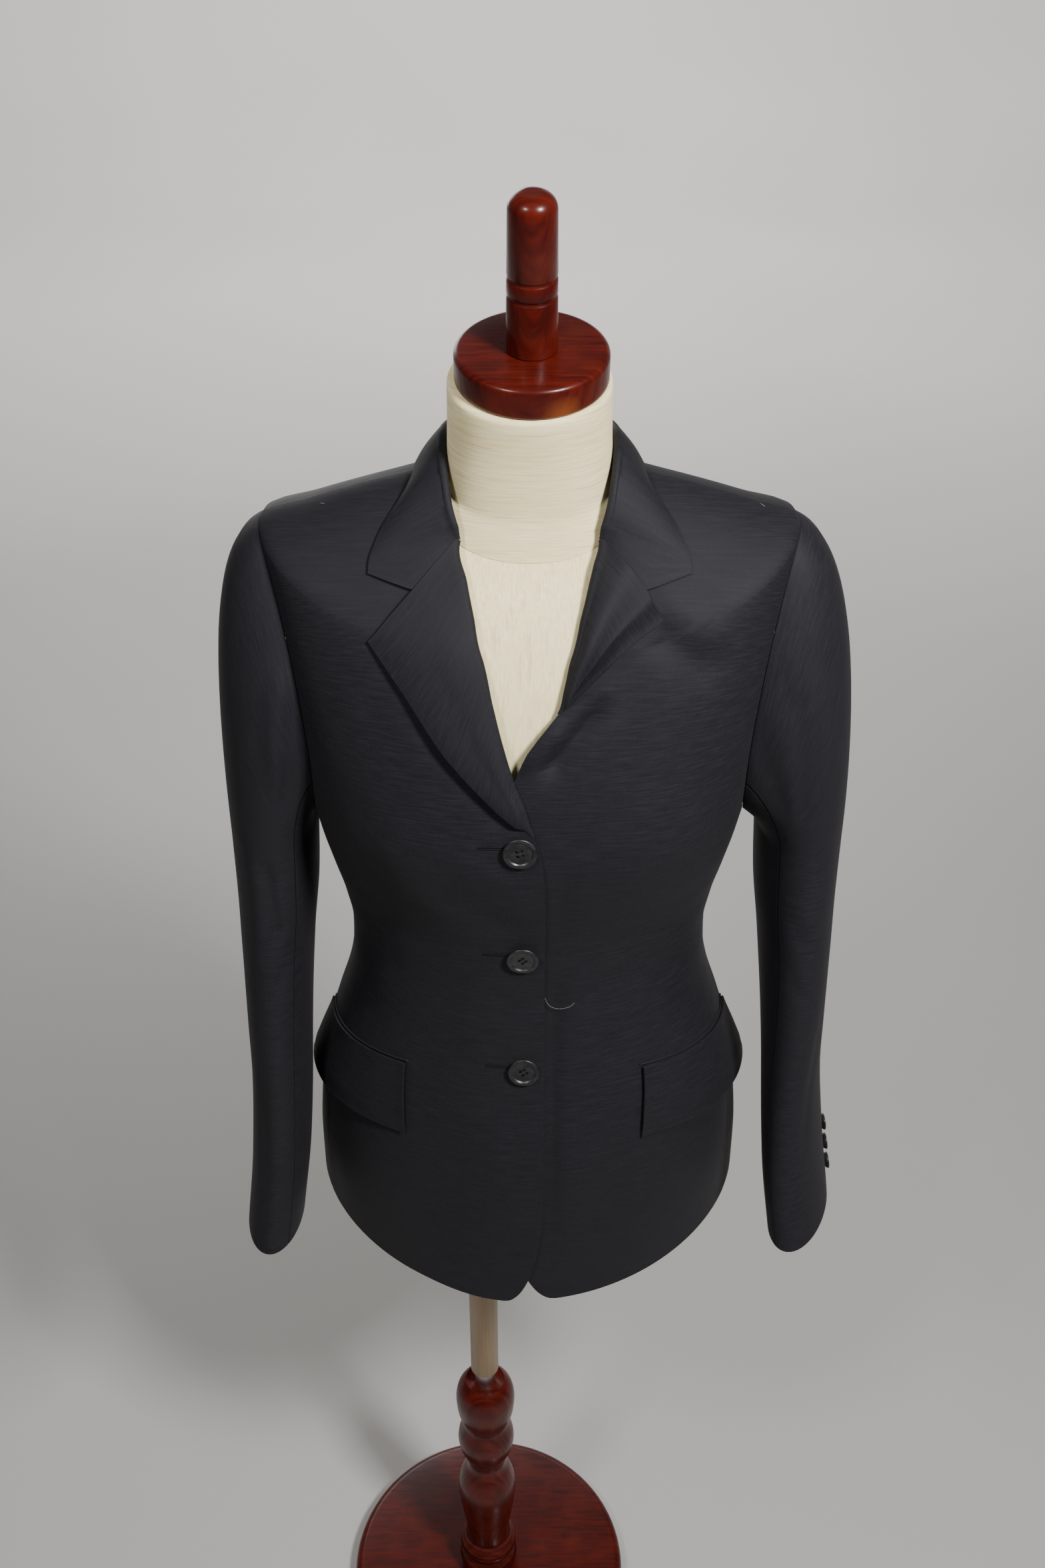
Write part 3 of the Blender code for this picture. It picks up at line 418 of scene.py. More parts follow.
def tube(name, points, radius, finish, closed=False, sides=6):
    """A thread or cord through points."""
    bm = bmesh.new()
    rings = []
    count = len(points)
    for i, point in enumerate(points):
        after = points[(i + 1) % count] if closed or i + 1 < count else point
        before = points[i - 1] if closed or i > 0 else point
        ahead = unit(after - before)
        right = unit(np.cross(ahead, np.array([0.3, 1.0, 0.2])))
        up = np.cross(right, ahead)
        ring = []
        for k in range(sides):
            c, s = compass(360.0 * k / sides)
            ring.append(bm.verts.new(point + (right * c + up * s) * radius))
        rings.append([bm.edges.new((ring[k - 1], ring[k])) for k in range(sides)])
    for a, b in zip(rings, rings[1:] + rings[:1] if closed else rings[1:]):
        bmesh.ops.bridge_loops(bm, edges=a + b)
    if not closed:
        bmesh.ops.holes_fill(bm, edges=rings[0] + rings[-1], sides=0)
    bmesh.ops.recalc_face_normals(bm, faces=bm.faces)
    piece(name, bm, finish)


def spun(profile, steps):
    """A bmesh of the profile's (radius, height) points spun about Z."""
    bm = bmesh.new()
    verts = [bm.verts.new((radius, 0.0, height)) for radius, height in profile]
    edges = [bm.edges.new(pair) for pair in zip(verts, verts[1:])]
    bmesh.ops.spin(
        bm, geom=verts + edges, cent=(0, 0, 0), axis=(0, 0, 1), angle=2 * math.pi, steps=steps,
        use_merge=True,
    )
    bmesh.ops.remove_doubles(bm, verts=bm.verts, dist=0.000005)
    bmesh.ops.recalc_face_normals(bm, faces=bm.faces)
    return bm


def sharpen(made, degrees=35):
    made.data.set_sharp_from_angle(angle=math.radians(degrees))


def arc(centre_r, centre_z, radius, start, end, count):
    """Points of a profile round an arc, in degrees from outward."""
    turns = [compass(turn) for turn in spaced(start, end, count)]
    return [(centre_r + radius * c, centre_z + radius * s) for c, s in turns]


# Finishes
class Value:
    """A socket of a material, so that its maths is written as sums."""

    def __init__(self, maker, socket):
        self.maker, self.socket = maker, socket

    def _with(self, operation, a, b):
        return self.maker.node("ShaderNodeMath", {0: a, 1: b}, operation=operation)

    def __add__(self, other):
        return self._with("ADD", self, other)

    def __mul__(self, other):
        return self._with("MULTIPLY", self, other)

    __radd__, __rmul__ = __add__, __mul__


class Finish:
    """A material in the making."""

    def __init__(self, name, **fixed):
        self.material = bpy.data.materials.new(name)
        self.material.use_nodes = True
        self.tree = self.material.node_tree
        self.shader = self.tree.nodes["Principled BSDF"]
        for key, value in fixed.items():
            self.shader.inputs[key.replace("_", " ")].default_value = value

    def node(self, kind, sockets=None, out=0, **settings):
        """The output of a new node, from the values or links of its sockets and its settings."""
        made = self.tree.nodes.new(kind)
        for key, value in settings.items():
            setattr(made, key, value)
        for key, value in (sockets or {}).items():
            if isinstance(value, Value):
                self.tree.links.new(value.socket, made.inputs[key])
            else:
                made.inputs[key].default_value = value
        return Value(self, made.outputs[out])

    def set(self, key, value):
        self.tree.links.new(value.socket, self.shader.inputs[key])

    def noise(self, scale, detail=2.0, rough=0.5, on_weave=False):
        """Noise of scale's cells per metre, in the object's frame or along and up the weave."""
        if on_weave:
            start = self.node("ShaderNodeUVMap", uv_map="weave")
        else:
            start = self.node("ShaderNodeTexCoord", out="Object")
        place = self.node("ShaderNodeMapping", {"Vector": start, "Scale": scale})
        sockets = {"Vector": place, "Scale": 1.0, "Detail": detail, "Roughness": rough}
        return self.node("ShaderNodeTexNoise", sockets)

    def levels(self, value, low, high, bottom=0.0, top=1.0):
        """A value between low and high, as one between bottom and top."""
        ends = {"Value": value, "From Min": low, "From Max": high, "To Min": bottom, "To Max": top}
        return self.node("ShaderNodeMapRange", ends)

    def mix(self, share, first, second):
        """A colour between first and second."""
        ends = [value if isinstance(value, Value) else (*value, 1.0) for value in (first, second)]
        return self.node("ShaderNodeMix", {0: share, 6: ends[0], 7: ends[1]}, 2, data_type="RGBA")

    def bump(self, height, distance, strength):
        sockets = {"Height": height, "Distance": distance, "Strength": strength}
        self.set("Normal", self.node("ShaderNodeBump", sockets))


def wool_finish():
    """Fine charcoal cloth with slubs along its crosswise threads."""
    made = Finish("charcoal_wool", Sheen_Weight=0.02, Sheen_Roughness=0.45, Specular_IOR_Level=0.15)
    slub = made.noise((50.0, 760.0, 1.0), 2.0, 0.6, on_weave=True)
    broad = made.noise((22.0, 330.0, 1.0), on_weave=True)
    cloud = made.noise((7.0, 7.0, 7.0))
    warp = made.noise((1500.0, 90.0, 1.0), 1.0, on_weave=True)
    streak = made.levels(slub, 0.38, 0.72)
    threads = streak * 0.6 + made.levels(broad, 0.35, 0.7) * 0.2 + made.levels(warp, 0.3, 0.7) * 0.2
    body = made.mix(threads, (0.0080, 0.0076, 0.0098), (0.0182, 0.0175, 0.0224))
    body = made.mix(made.levels(cloud, 0.30, 0.75) * 0.45, body, (0.0135, 0.0125, 0.0145))
    made.set("Base Color", body)
    made.set("Roughness", made.levels(streak, 0.0, 1.0, 0.62, 0.74))
    made.bump(slub * 0.6 + warp * 0.4, 0.00025, 0.55)
    return made.material


def linen_finish(name, along_x):
    """Natural linen: along_x for threads that run round the neck, else down the front."""
    made = Finish(name, Sheen_Weight=0.1)
    fine = (40.0, 40.0, 1050.0) if along_x else (1050.0, 300.0, 30.0)
    cross = (900.0, 500.0, 60.0) if along_x else (60.0, 60.0, 900.0)
    slub = (16.0, 16.0, 420.0) if along_x else (300.0, 90.0, 14.0)
    thread = made.noise(fine, 2.0, 0.6)
    weft = made.noise(cross, 1.0)
    thick = made.noise(slub, 2.0, 0.65)
    cloud = made.noise((18.0, 18.0, 18.0))
    body = made.mix(made.levels(thread, 0.35, 0.70), (0.850, 0.700, 0.360), (0.980, 0.890, 0.550))
    body = made.mix(made.levels(thick, 0.56, 0.70) * 0.60, body, (0.640, 0.490, 0.260))
    body = made.mix(made.levels(cloud, 0.35, 0.70) * 0.22, body, (0.830, 0.690, 0.420))
    made.set("Base Color", body)
    made.set("Roughness", made.levels(thread, 0.3, 0.7, 0.90, 0.78))
    made.bump(thread * 0.6 + weft * 0.3 + thick * 0.5, 0.0003, 0.5)
    return made.material


# A painted highlight on the neck cap's front rim: its middle, its outer radius and the radius of its
# full strength
PAINTED_GLINT_PLACE, PAINTED_GLINT_RADIUS, PAINTED_GLINT_CORE = (0.068, -0.064, 1.468), 0.024, 0.012


def lacquer_finish():
    """Dark mahogany under gloss lacquer, with a painted highlight: a thin orange patch at the front
    of the neck cap.
    """
    made = Finish("mahogany_lacquer", Coat_Roughness=0.07, Coat_Weight=0.14, Specular_IOR_Level=0.2)
    grain = made.noise((26.0, 300.0, 26.0), 3.0, 0.6)
    cloud = made.noise((34.0, 34.0, 34.0))
    body = made.mix(made.levels(grain, 0.35, 0.70), (0.034, 0.0022, 0.0014), (0.088, 0.0075, 0.0038))
    body = made.mix(made.levels(cloud, 0.45, 0.75) * 0.35, body, (0.115, 0.016, 0.006))
    start = made.node("ShaderNodeTexCoord", out="Object")
    away = made.node("ShaderNodeVectorMath", {0: start, 1: PAINTED_GLINT_PLACE}, 1, operation="DISTANCE")
    # Painted highlight: lighter orange near the cap's front rim, in place of a lamp's reflection
    painted_glint = made.levels(away + cloud * 0.012, PAINTED_GLINT_RADIUS, PAINTED_GLINT_CORE)
    made.set("Base Color", made.mix(painted_glint * 0.6, body, (0.220, 0.060, 0.012)))
    made.set("Roughness", made.levels(grain, 0.3, 0.7, 0.34, 0.26))
    made.bump(made.noise((60.0, 60.0, 60.0)), 0.0004, 0.25)
    return made.material


def horn_finish():
    made = Finish("black_horn", Coat_Weight=0.12, Coat_Roughness=0.25)
    cloud = made.noise((160.0, 160.0, 260.0), 3.0)
    body = made.mix(made.levels(cloud, 0.35, 0.75), (0.007, 0.007, 0.008), (0.022, 0.021, 0.021))
    made.set("Base Color", body)
    made.set("Roughness", made.levels(cloud, 0.3, 0.7, 0.34, 0.48))
    made.bump(cloud, 0.0001, 0.2)
    return made.material


def metal_finish(name, dark, light, metal, rough):
    made = Finish(name, Metallic=metal)
    brushed = made.noise((900.0, 900.0, 12.0), 2.0, 0.6)
    cloud = made.noise((30.0, 30.0, 14.0))
    shade = made.levels(brushed, 0.3, 0.7) * 0.6 + made.levels(cloud, 0.3, 0.7) * 0.4
    made.set("Base Color", made.mix(shade, dark, light))
    made.set("Roughness", made.levels(cloud, 0.3, 0.7, rough, rough + 0.12))
    made.bump(brushed, 0.00005, 0.3)
    return made.material


def thread_finish(name, dark, light):
    made = Finish(name, Specular_IOR_Level=0.15)
    twist = made.noise((900.0, 900.0, 900.0), 1.0)
    made.set("Base Color", made.mix(made.levels(twist, 0.3, 0.7), dark, light))
    made.set("Roughness", made.levels(twist, 0.3, 0.7, 0.6, 0.8))
    return made.material


# Armholes and panels
FRONT_TURNS = (147.0, 128.0, 108.0, 88.0, 70.0, 54.0, 40.0, 27.0, 14.0, 0.0)
UNDER_TURNS = (147.0, 163.0, 180.0, 196.0, 211.0, 225.0)
BACK_TURNS = (225.0, 243.0, 262.0, 282.0, 300.0, 316.0, 331.0, 346.0, 360.0)
SLEEVE_FRONT_SEAM, SLEEVE_BACK_SEAM = 128.0, 282.0
LOWER_LEVELS = (0.700, 0.7035, 0.713, 0.734, 0.765, 0.797, 0.830, 0.862, 0.893, 0.923, 0.950, 0.976,
                1.003, 1.030, 1.057, 1.084, 1.115)
GORGE = (0.0516, 1.3757)
NOTCH = (0.0811, 1.3463)
ROLL = {
    -1: [(0.0122, 1.1200), (0.0108, 1.1450), (0.0074, 1.1680), (0.0032, 1.1800), (-0.0056, 1.2015),
         (-0.0130, 1.2200), (-0.0220, 1.2496), (-0.0293, 1.2781), (-0.0353, 1.3047),
         (-0.0417, 1.3294), (-0.0472, 1.3527), (-GORGE[0], GORGE[1])],
    1: [(-0.0180, 1.1760), (-0.0125, 1.2160), (-0.0057, 1.2358), (0.0038, 1.2509), (0.0140, 1.2637),
        (0.0214, 1.2735), (0.0271, 1.2861), (0.0325, 1.3075), (0.0381, 1.3272), (0.0436, 1.3462),
        (0.0478, 1.3610), GORGE],
}
ROLL_PLACES = {side: [on_front(x, z) for x, z in ROLL[side]] for side in HANDS}
NECK_LEVEL = ROLL_PLACES[1][-1][1]
SHOULDER_LEVELS = (SHOULDER_LEVEL, 1.404, 1.434, 1.461, NECK_LEVEL)
COAT_RADIUS, SHOULDER_RADIUS, BACK_RADIUS = 0.17, 0.08, 0.12  # these turn a gap into an angle
PANEL_STEPS = 4


def armhole_place(turn, inset=0.0):
    """(angle, level) of the armhole's edge on the wearer's left, inset metres inside it."""
    c, s = compass(turn)
    middle = (ARMHOLE_BOTTOM + SHOULDER_LEVEL) / 2
    half = (SHOULDER_LEVEL - ARMHOLE_BOTTOM) / 2 - inset
    reach = max(0.0, ARMHOLE_REACH * abs(s) ** ARMHOLE_FULLNESS - seam_angle(2 * inset))
    return 90.0 - math.copysign(reach, s), middle + half * c


def seam_angle(width=SEAM, radius=COAT_RADIUS):
    """Half of a gap, as an angle."""
    return math.degrees(width / 2 / radius)


def edge_angle(side, level):
    """Where a front's edge is: its rounded corner, its straight edge, then the roll line."""
    places = ROLL_PLACES[side]
    if level > places[0][1]:
        angles, levels = zip(*places)
        return smooth(levels, angles, level)
    width, height = CORNER[side]
    below = max(0.0, 1 - (level - HEM_LEVEL) / height)
    return angle_of(EDGE_X[side] + side * width * (1 - math.sqrt(1 - below**2)), level)


def panel_rows(turns):
    """(level, outer angle) of each row of a front or back panel."""
    corner_angle = armhole_place(turns[0])[0]
    toward = 1 if corner_angle > 90.0 else -1
    side_edge = corner_angle + toward * seam_angle()
    rows = [(level, side_edge) for level in finer(LOWER_LEVELS, PANEL_STEPS)]
    spots = [armhole_place(turn) for turn in finer(turns, PANEL_STEPS)]
    rows.append(((rows[-1][0] + spots[0][1]) / 2, side_edge))
    rows += [(level, angle + toward * seam_angle()) for angle, level in spots]
    shoulder_edge = 90.0 + toward * seam_angle(radius=SHOULDER_RADIUS)
    return rows + [(level, shoulder_edge) for level in finer(SHOULDER_LEVELS, PANEL_STEPS)[1:]]


GRAIN_LEAN, LEAN_FROM_Z, LEAN_FULL_Z, LEAN_FROM_Y = 0.6, 1.25, 1.36, 0.05


def level_grain(toward):
    """How far up the cut a point is: toward is 1 on a front and -1 on a back.

    The cloth leans over the shoulders there, so its way in counts as well as its height.
    """
    def place(point):
        lean = GRAIN_LEAN * ramp(LEAN_FROM_Z, LEAN_FULL_Z, point[2])
        return point[2] + lean * (toward * point[1] + LEAN_FROM_Y)

    return place


FRONT_SHARES = (0.0, 0.006, 0.022, 0.045, 0.075, 0.11, 0.15, 0.20, 0.26, 0.32, 0.39, 0.46, 0.54,
                0.62, 0.71, 0.80, 0.88, 0.95, 0.985, 1.0)


def front_panel(side, finish):
    rows = []
    columns = finer(FRONT_SHARES, 2)
    for level, outer in panel_rows(FRONT_TURNS):
        inner = side * edge_angle(side, level)
        row = []
        for share in columns:
            angle = side * blend(inner, outer, share)
            out = lift_of(side, angle, level) + body_relief(FRONT_CREASES[side], angle, level)
            row.append(coat_point(angle, level, out))
        rows.append(row)
    side_cloth(side, "front_cloth", "front", rows, finish, grain=level_grain(1))


def side_panel(side, finish):
    places = [armhole_place(turn) for turn in finer(UNDER_TURNS, 3)]
    places[0] = (places[0][0] + seam_angle(), places[0][1])
    places[-1] = (places[-1][0] - seam_angle(), places[-1][1])
    rows = []
    for share in spaced(0.0, 1.0, 60):
        row = [coat_point(side * angle, blend(HEM_LEVEL, top, share)) for angle, top in places]
        rows.append(row)
    side_cloth(side, "side_cloth", "side", rows, finish)


BACK_SEAM, SEAM_DIP = 0.0005, 0.0004  # the centre back's gap, and how far its edges are drawn in
ALLOWANCE_OUT, ALLOWANCE_RADIUS = 0.0003, 0.0007


def back_seam(finish):
    """The allowance that closes the centre back seam from inside."""
    path = []
    for level in spaced(HEM_LEVEL + 0.001, NECK_LEVEL, 80):
        relief = body_relief(BACK_CREASES, 180.0, level)
        path.append(coat_point(180.0, level, relief + ALLOWANCE_OUT))
    tube("centre_back_seam", path, ALLOWANCE_RADIUS, finish, sides=8)


def back_panel(side, finish):
    rows = []
    inner = 180.0 - seam_angle(BACK_SEAM, BACK_RADIUS)
    for level, outer in panel_rows(BACK_TURNS):
        row = []
        for angle in spaced(outer, inner, 34):
            relief = body_relief(BACK_CREASES, side * angle, level)
            relief -= SEAM_DIP * ramp(178.0, inner, angle)
            row.append(coat_point(side * angle, level, relief))
        rows.append(row)
    side_cloth(side, "back_cloth", "back", rows, finish, grain=level_grain(-1))


# Lapels and collar
# A lapel's outer edge from above its foot to its tip, its foot, and how it stands off its front
LAPEL = {
    -1: {
        "edge": [(-0.0022, 1.1858), (-0.0150, 1.1968), (-0.0374, 1.2198), (-0.0600, 1.2460),
                 (-0.0869, 1.2845), (-0.1117, 1.3168)],
        "foot": (0.0027, 1.1812),
        "bow": 0.0030,
        "roll": 0.0,
        "tip_lift": 0.0,
        "edge_lift": 0.0035,
    },
    1: {
        "edge": [(0.0225, 1.2728), (0.0322, 1.2829), (0.0502, 1.2999), (0.0683, 1.3148),
                 (0.0915, 1.3284)],
        "foot": (0.0204, 1.2724),
        "bow": 0.0006,
        "roll": 0.0055,
        "tip_lift": 0.0110,
        "edge_lift": 0.0,
    },
}
FOOT_SHARE = 0.14  # of a lapel's length, over which its foot thins out
LAPEL_BELOW_GORGE = np.array([0.0, 0.0001])
COLLAR_ABOVE_GORGE = np.array([0.0, 0.0004])


def along(points, share):
    """A point on the smooth line through points, share of the way along its rows."""
    steps = spaced(0.0, 1.0, len(points))
    return np.array([smooth(steps, column, share) for column in zip(*points)])


def bent(first, middle, last, share):
    """A point on the line from first to last that turns a corner at middle."""
    corner = np.linalg.norm(middle - first)
    corner = corner / (corner + np.linalg.norm(last - middle))
    if share < corner:
        return blend(first, middle, share / corner)
    return blend(middle, last, (share - corner) / (1 - corner))


def on_panel(side, place, out, across=0.0):
    """A point of a piece that lies on a front, out from its outer face, across past its edge."""
    sideways = unit(np.cross(UP, coat_normal(*place)))
    return front_point(side, place, out) - sideways * (side * across)


def on_fold(side, level, turn, lay=LAY):
    """A point of the fold round a front's edge: a turn of 90 is lay off the outer face."""
    c, s = compass(turn)
    radius = CLOTH / 2 + lay
    return on_panel(side, (edge_angle(side, level), level), radius * s - CLOTH / 2, radius * c)


def lapel_rise(shape, w, s):
    """How far a lapel stands off: w from its roll to its edge, s from its foot to its top."""
    roll = shape["roll"] * math.exp(-(((w - 0.35) / 0.25) ** 2))
    roll *= ramp(0.0, 0.15, w) * ramp(0.0, 0.5, s)
    tip = shape["tip_lift"] * ramp(0.74, 1.0, w) * ramp(0.0, 0.6, s)
    edge = shape["edge_lift"] * ramp(0.5, 1.0, w) * math.sin(math.pi * s)
    return (shape["bow"] * math.sin(math.pi * w) + roll + tip + edge) * ramp(0.0, FOOT_SHARE, s)


def lapel(side, finish):
    shape = LAPEL[side]
    mirror = np.array([side, 1.0])
    tip = np.array(shape["edge"][-1])
    gorge = np.array(GORGE) * mirror - LAPEL_BELOW_GORGE
    notch = np.array(NOTCH) * mirror - LAPEL_BELOW_GORGE
    foot, foot_edge = np.array(shape["foot"]), np.array(shape["edge"][0])
    foot_level, top_level = on_front(*foot)[1], on_front(*gorge)[1]
    rows, fullness = [], []
    for level in spaced(foot_level, top_level, 60):
        s = (level - foot_level) / (top_level - foot_level)
        full = 0.12 + 0.88 * ramp(0.0, FOOT_SHARE, s)
        fullness.append(full)
        row = [on_fold(side, level, turn, LAY * full) for turn in (0.0, 30.0, 60.0)]
        start = coat_surface(edge_angle(side, level), level)[[0, 2]]
        for w in spaced(0.0, 1.0, 22):
            top = bent(gorge, notch, tip, w)
            bottom = blend(foot, foot_edge, w)
            corners = (1 - s) * bottom + s * blend(gorge, tip, w)
            xz = (1 - w) * start + w * along(shape["edge"], s) + (1 - s) * bottom + s * top
            place = on_front(*(xz - corners))
            row.append(on_panel(side, place, LAY * full + lapel_rise(shape, w, s)))
        rows.append(row)
    under = (f"front_cloth_{HANDS[side]}",)
    side_cloth(side, "lapel_cloth", "lapel", rows, finish, rests_on=under, fullness=fullness)


# Stations from the centre back: angle of the neck seam, the fold's x, y and z, then the angle and
# level where the fall ends
COLLAR = (
    (180.0, 0.0000, 0.0660, 1.4220, 180.0, 1.4715),
    (162.0, 0.0208, 0.0614, 1.4228, 162.5, 1.4725),
    (144.0, 0.0383, 0.0545, 1.4242, 144.5, 1.4760),
    (125.5, 0.0520, 0.0410, 1.4279, 126.0, 1.4810),
    (108.0, 0.0588, 0.0249, 1.4313, 108.5, 1.4845),
    (90.0, 0.0617, 0.0040, 1.4332, 90.0, 1.4850),
    (78.5, 0.0617, -0.0080, 1.4305, 78.0, 1.4800),
    (69.0, 0.0612, -0.0175, 1.4265, 70.0, 1.4715),
    (61.5, 0.0602, -0.0275, 1.4195, 63.0, 1.4600),
    (54.5, 0.0586, -0.0358, 1.4112, 58.0, 1.4495),
    (48.5, 0.0572, -0.0420, 1.4028, 53.5, 1.4395),
    (43.5, 0.0551, -0.0465, 1.3946, 50.0, 1.4305),
    (39.5, 0.0524, -0.0497, 1.3862, 47.9, 1.4252),
)
COLLAR_TIP = (0.1121, 1.3548)
COLLAR_CLOTH = 0.0018
COLLAR_LAY = 0.0014
COLLAR_FOLD = 0.0014
COLLAR_BOW = 0.0015
FALL_SHARES = spaced(0.0, 1.0, 17)[1:]


def collar_station(side, seam_at, fold_x, fold_y, fold_z, edge_at, edge_level):
    """One cross-section of the collar: up the stand, over the fold and down the fall."""
    fold = np.array([FORM_X + side * fold_x, fold_y, fold_z])
    seam = coat_point(side * seam_at, NECK_LEVEL, CLOTH / 2)
    below = coat_point(side * seam_at, NECK_LEVEL - 0.004, CLOTH / 2)
    seam += unit(seam - below) * LAY
    edge = on_panel(side, (side * edge_at, edge_level), COLLAR_LAY)
    outward = unit((edge - fold) * np.array([1.0, 1.0, 0.0]))
    inside = fold - outward * COLLAR_FOLD
    row = [blend(seam, inside, share) for share in (0.0, 0.28, 0.55, 0.8)]
    for turn in spaced(180.0, 0.0, 7):
        c, s = compass(turn)
        row.append(fold + (outward * c + UP * s) * COLLAR_FOLD)
    start = row[-1]
    for share in FALL_SHARES:
        bow = outward * COLLAR_BOW * math.sin(math.pi * share)
        row.append(blend(start, edge, share) + bow)
    return row


def collar_end(side):
    """The collar's front end: over the fold, along the gorge seam, then out to the tip."""
    mirror = np.array([side, 1.0])
    gorge = np.array(GORGE) * mirror + COLLAR_ABOVE_GORGE
    notch = np.array(NOTCH) * mirror + COLLAR_ABOVE_GORGE
    tip = np.array(COLLAR_TIP) * mirror
    level = on_front(*gorge)[1]
    row = [on_fold(side, level, turn) for turn in spaced(0.0, 90.0, 11)]
    for share in FALL_SHARES:
        out = LAY + COLLAR_BOW * 0.6 * math.sin(math.pi * share)
        row.append(on_panel(side, on_front(*bent(gorge, notch, tip, share)), out))
    return row


def collar(finish):
    halves = []
    places = [float(i) for i in range(len(COLLAR))]
    for side in HANDS:
        half = []
        for place in finer(places, 4):
            station = [smooth(places, column, place) for column in zip(*COLLAR)]
            half.append(collar_station(side, *station))
        last, end = half[-1], collar_end(side)
        halves.append(half + [between(last, end, share) for share in (0.25, 0.5, 0.75, 1.0)])
    rows = halves[0][:0:-1] + halves[1]
    cloth(
        "collar_cloth", [row[::-1] for row in rows], finish, "collar", thickness=COLLAR_CLOTH,
        rests_on=("front_cloth_right", "front_cloth_left"),
    )


# Sleeves
SLEEVE = table(
    "z middle_x middle_y half_x half_y",
    [
        (0.735, 0.2255, -0.0830, 0.0245, 0.0550),
        (0.800, 0.2180, -0.0625, 0.0252, 0.0565),
        (0.875, 0.2140, -0.0410, 0.0255, 0.0590),
        (0.925, 0.2130, -0.0290, 0.0270, 0.0610),
        (1.000, 0.2100, -0.0150, 0.0300, 0.0635),
        (1.055, 0.2065, -0.0080, 0.0330, 0.0655),
        (1.110, 0.2050, -0.0040, 0.0345, 0.0660),
    ],
)
SLEEVE_SIZES = ("middle_x", "middle_y", "half_x", "half_y")
BICEPS_Z, CUFF_Z = 1.110, 0.735
# The wearer's left sleeve hangs further out and is turned in at the cuff
SLEEVE_SHIFT = {-1: 0.0, 1: 0.0130}
SLEEVE_TWIST = {-1: 0.0, 1: 20.0}
CUFF_SWING = {-1: 0.0, 1: 0.0038}
SLEEVE_GAP, SEAM_STRIP = 0.5, 2.5  # in degrees of a sleeve's turn


def sleeve_point(side, turn, z, out=0.0):
    """A point of the sleeve's outer face, out metres off it. 0 faces out, 90 faces forward."""
    sizes = (smooth(SLEEVE["z"], SLEEVE[key], z) for key in SLEEVE_SIZES)
    middle_x, middle_y, half_x, half_y = sizes
    c, s = compass(turn)
    hang = 1 - ramp(CUFF_Z, 1.02, z)
    twist_c, twist_s = compass(SLEEVE_TWIST[side] * hang)
    outward, forward = (half_x + out) * c, (half_y + out) * s
    x = middle_x + SLEEVE_SHIFT[side] + CUFF_SWING[side] * hang
    x += outward * twist_c - forward * twist_s
    y = middle_y - (forward * twist_c + outward * twist_s)
    return np.array([FORM_X + side * x, y, z])


def cap_point(side, turn, share):
    """A point of the sleeve's cap: a curve from the armhole out and down to the biceps."""
    c, s = compass(turn)
    angle, level = armhole_place(turn, SEAM)
    start = coat_point(side * angle, level, CLOTH)
    end = sleeve_point(side, turn, BICEPS_Z)
    span = np.linalg.norm(end - start)
    top, under = max(0.0, c), max(0.0, -c)
    leave = unit(np.array([side * (0.75 + 0.20 * top), -0.40 * s, -0.34 - 0.30 * under]))
    leave = leave * span * (0.17 + 0.04 * (1 - top))
    arrive = UP * (span * (0.30 + 0.185 * top))
    t = share
    made = (
        start * (1 - t) ** 3
        + 3 * (start + leave) * t * (1 - t) ** 2
        + 3 * (end + arrive) * t * t * (1 - t)
        + end * t**3
    )
    away = unit(np.array([side * c, -s, 0.0]))
    return made + away * sleeve_relief(side, turn, made[2]) * ramp(0.0, 0.12, share)


def sleeve_piece(side, name, node, turns, finish):
    turns = finer(turns, 2)
    low, high = turns[0] + SLEEVE_GAP, turns[-1] - SLEEVE_GAP
    inside = finer(turns[1:-1], 2)
    turns = [low, low + SEAM_STRIP] + inside + [high - SEAM_STRIP, high]
    turns.reverse()
    rows = []
    for z in spaced(CUFF_Z, BICEPS_Z, 56)[:-1]:
        rows.append([sleeve_point(side, turn, z, sleeve_relief(side, turn, z)) for turn in turns])
    for share in spaced(1.0, 0.0, 34):
        rows.append([cap_point(side, turn, share) for turn in turns])
    side_cloth(side, name, node, rows, finish, offset=-1.0)


def sleeve(side, finish):
    turns = sorted(set(FRONT_TURNS + UNDER_TURNS + BACK_TURNS[:-1]))
    under = [turn for turn in turns if SLEEVE_FRONT_SEAM <= turn <= SLEEVE_BACK_SEAM]
    behind = [turn - 360.0 for turn in turns if turn >= SLEEVE_BACK_SEAM]
    upper = behind + [turn for turn in turns if turn <= SLEEVE_FRONT_SEAM]
    sleeve_piece(side, "sleeve_top", "sleeve_upper", upper, finish)
    sleeve_piece(side, "sleeve_underside", "sleeve_under", under, finish)


# Pocket flaps
FLAP_TOP, FLAP_FOOT = (0.9290, 0.9070), (0.8620, 0.8480)  # levels at a flap's front and back
FLAP_START, FLAP_END = {-1: 37.5, 1: 34.2}, 92.0
FLAP_STANDS_OFF = (0.0006, 0.009)
FLAP_SWING = -3.0
FLAP_CURL = 0.0012  # the front edge stands off this much more
WELT_RADIUS, WELT_RISE, WELT_OUT = 0.0009, 0.0018, 0.0004


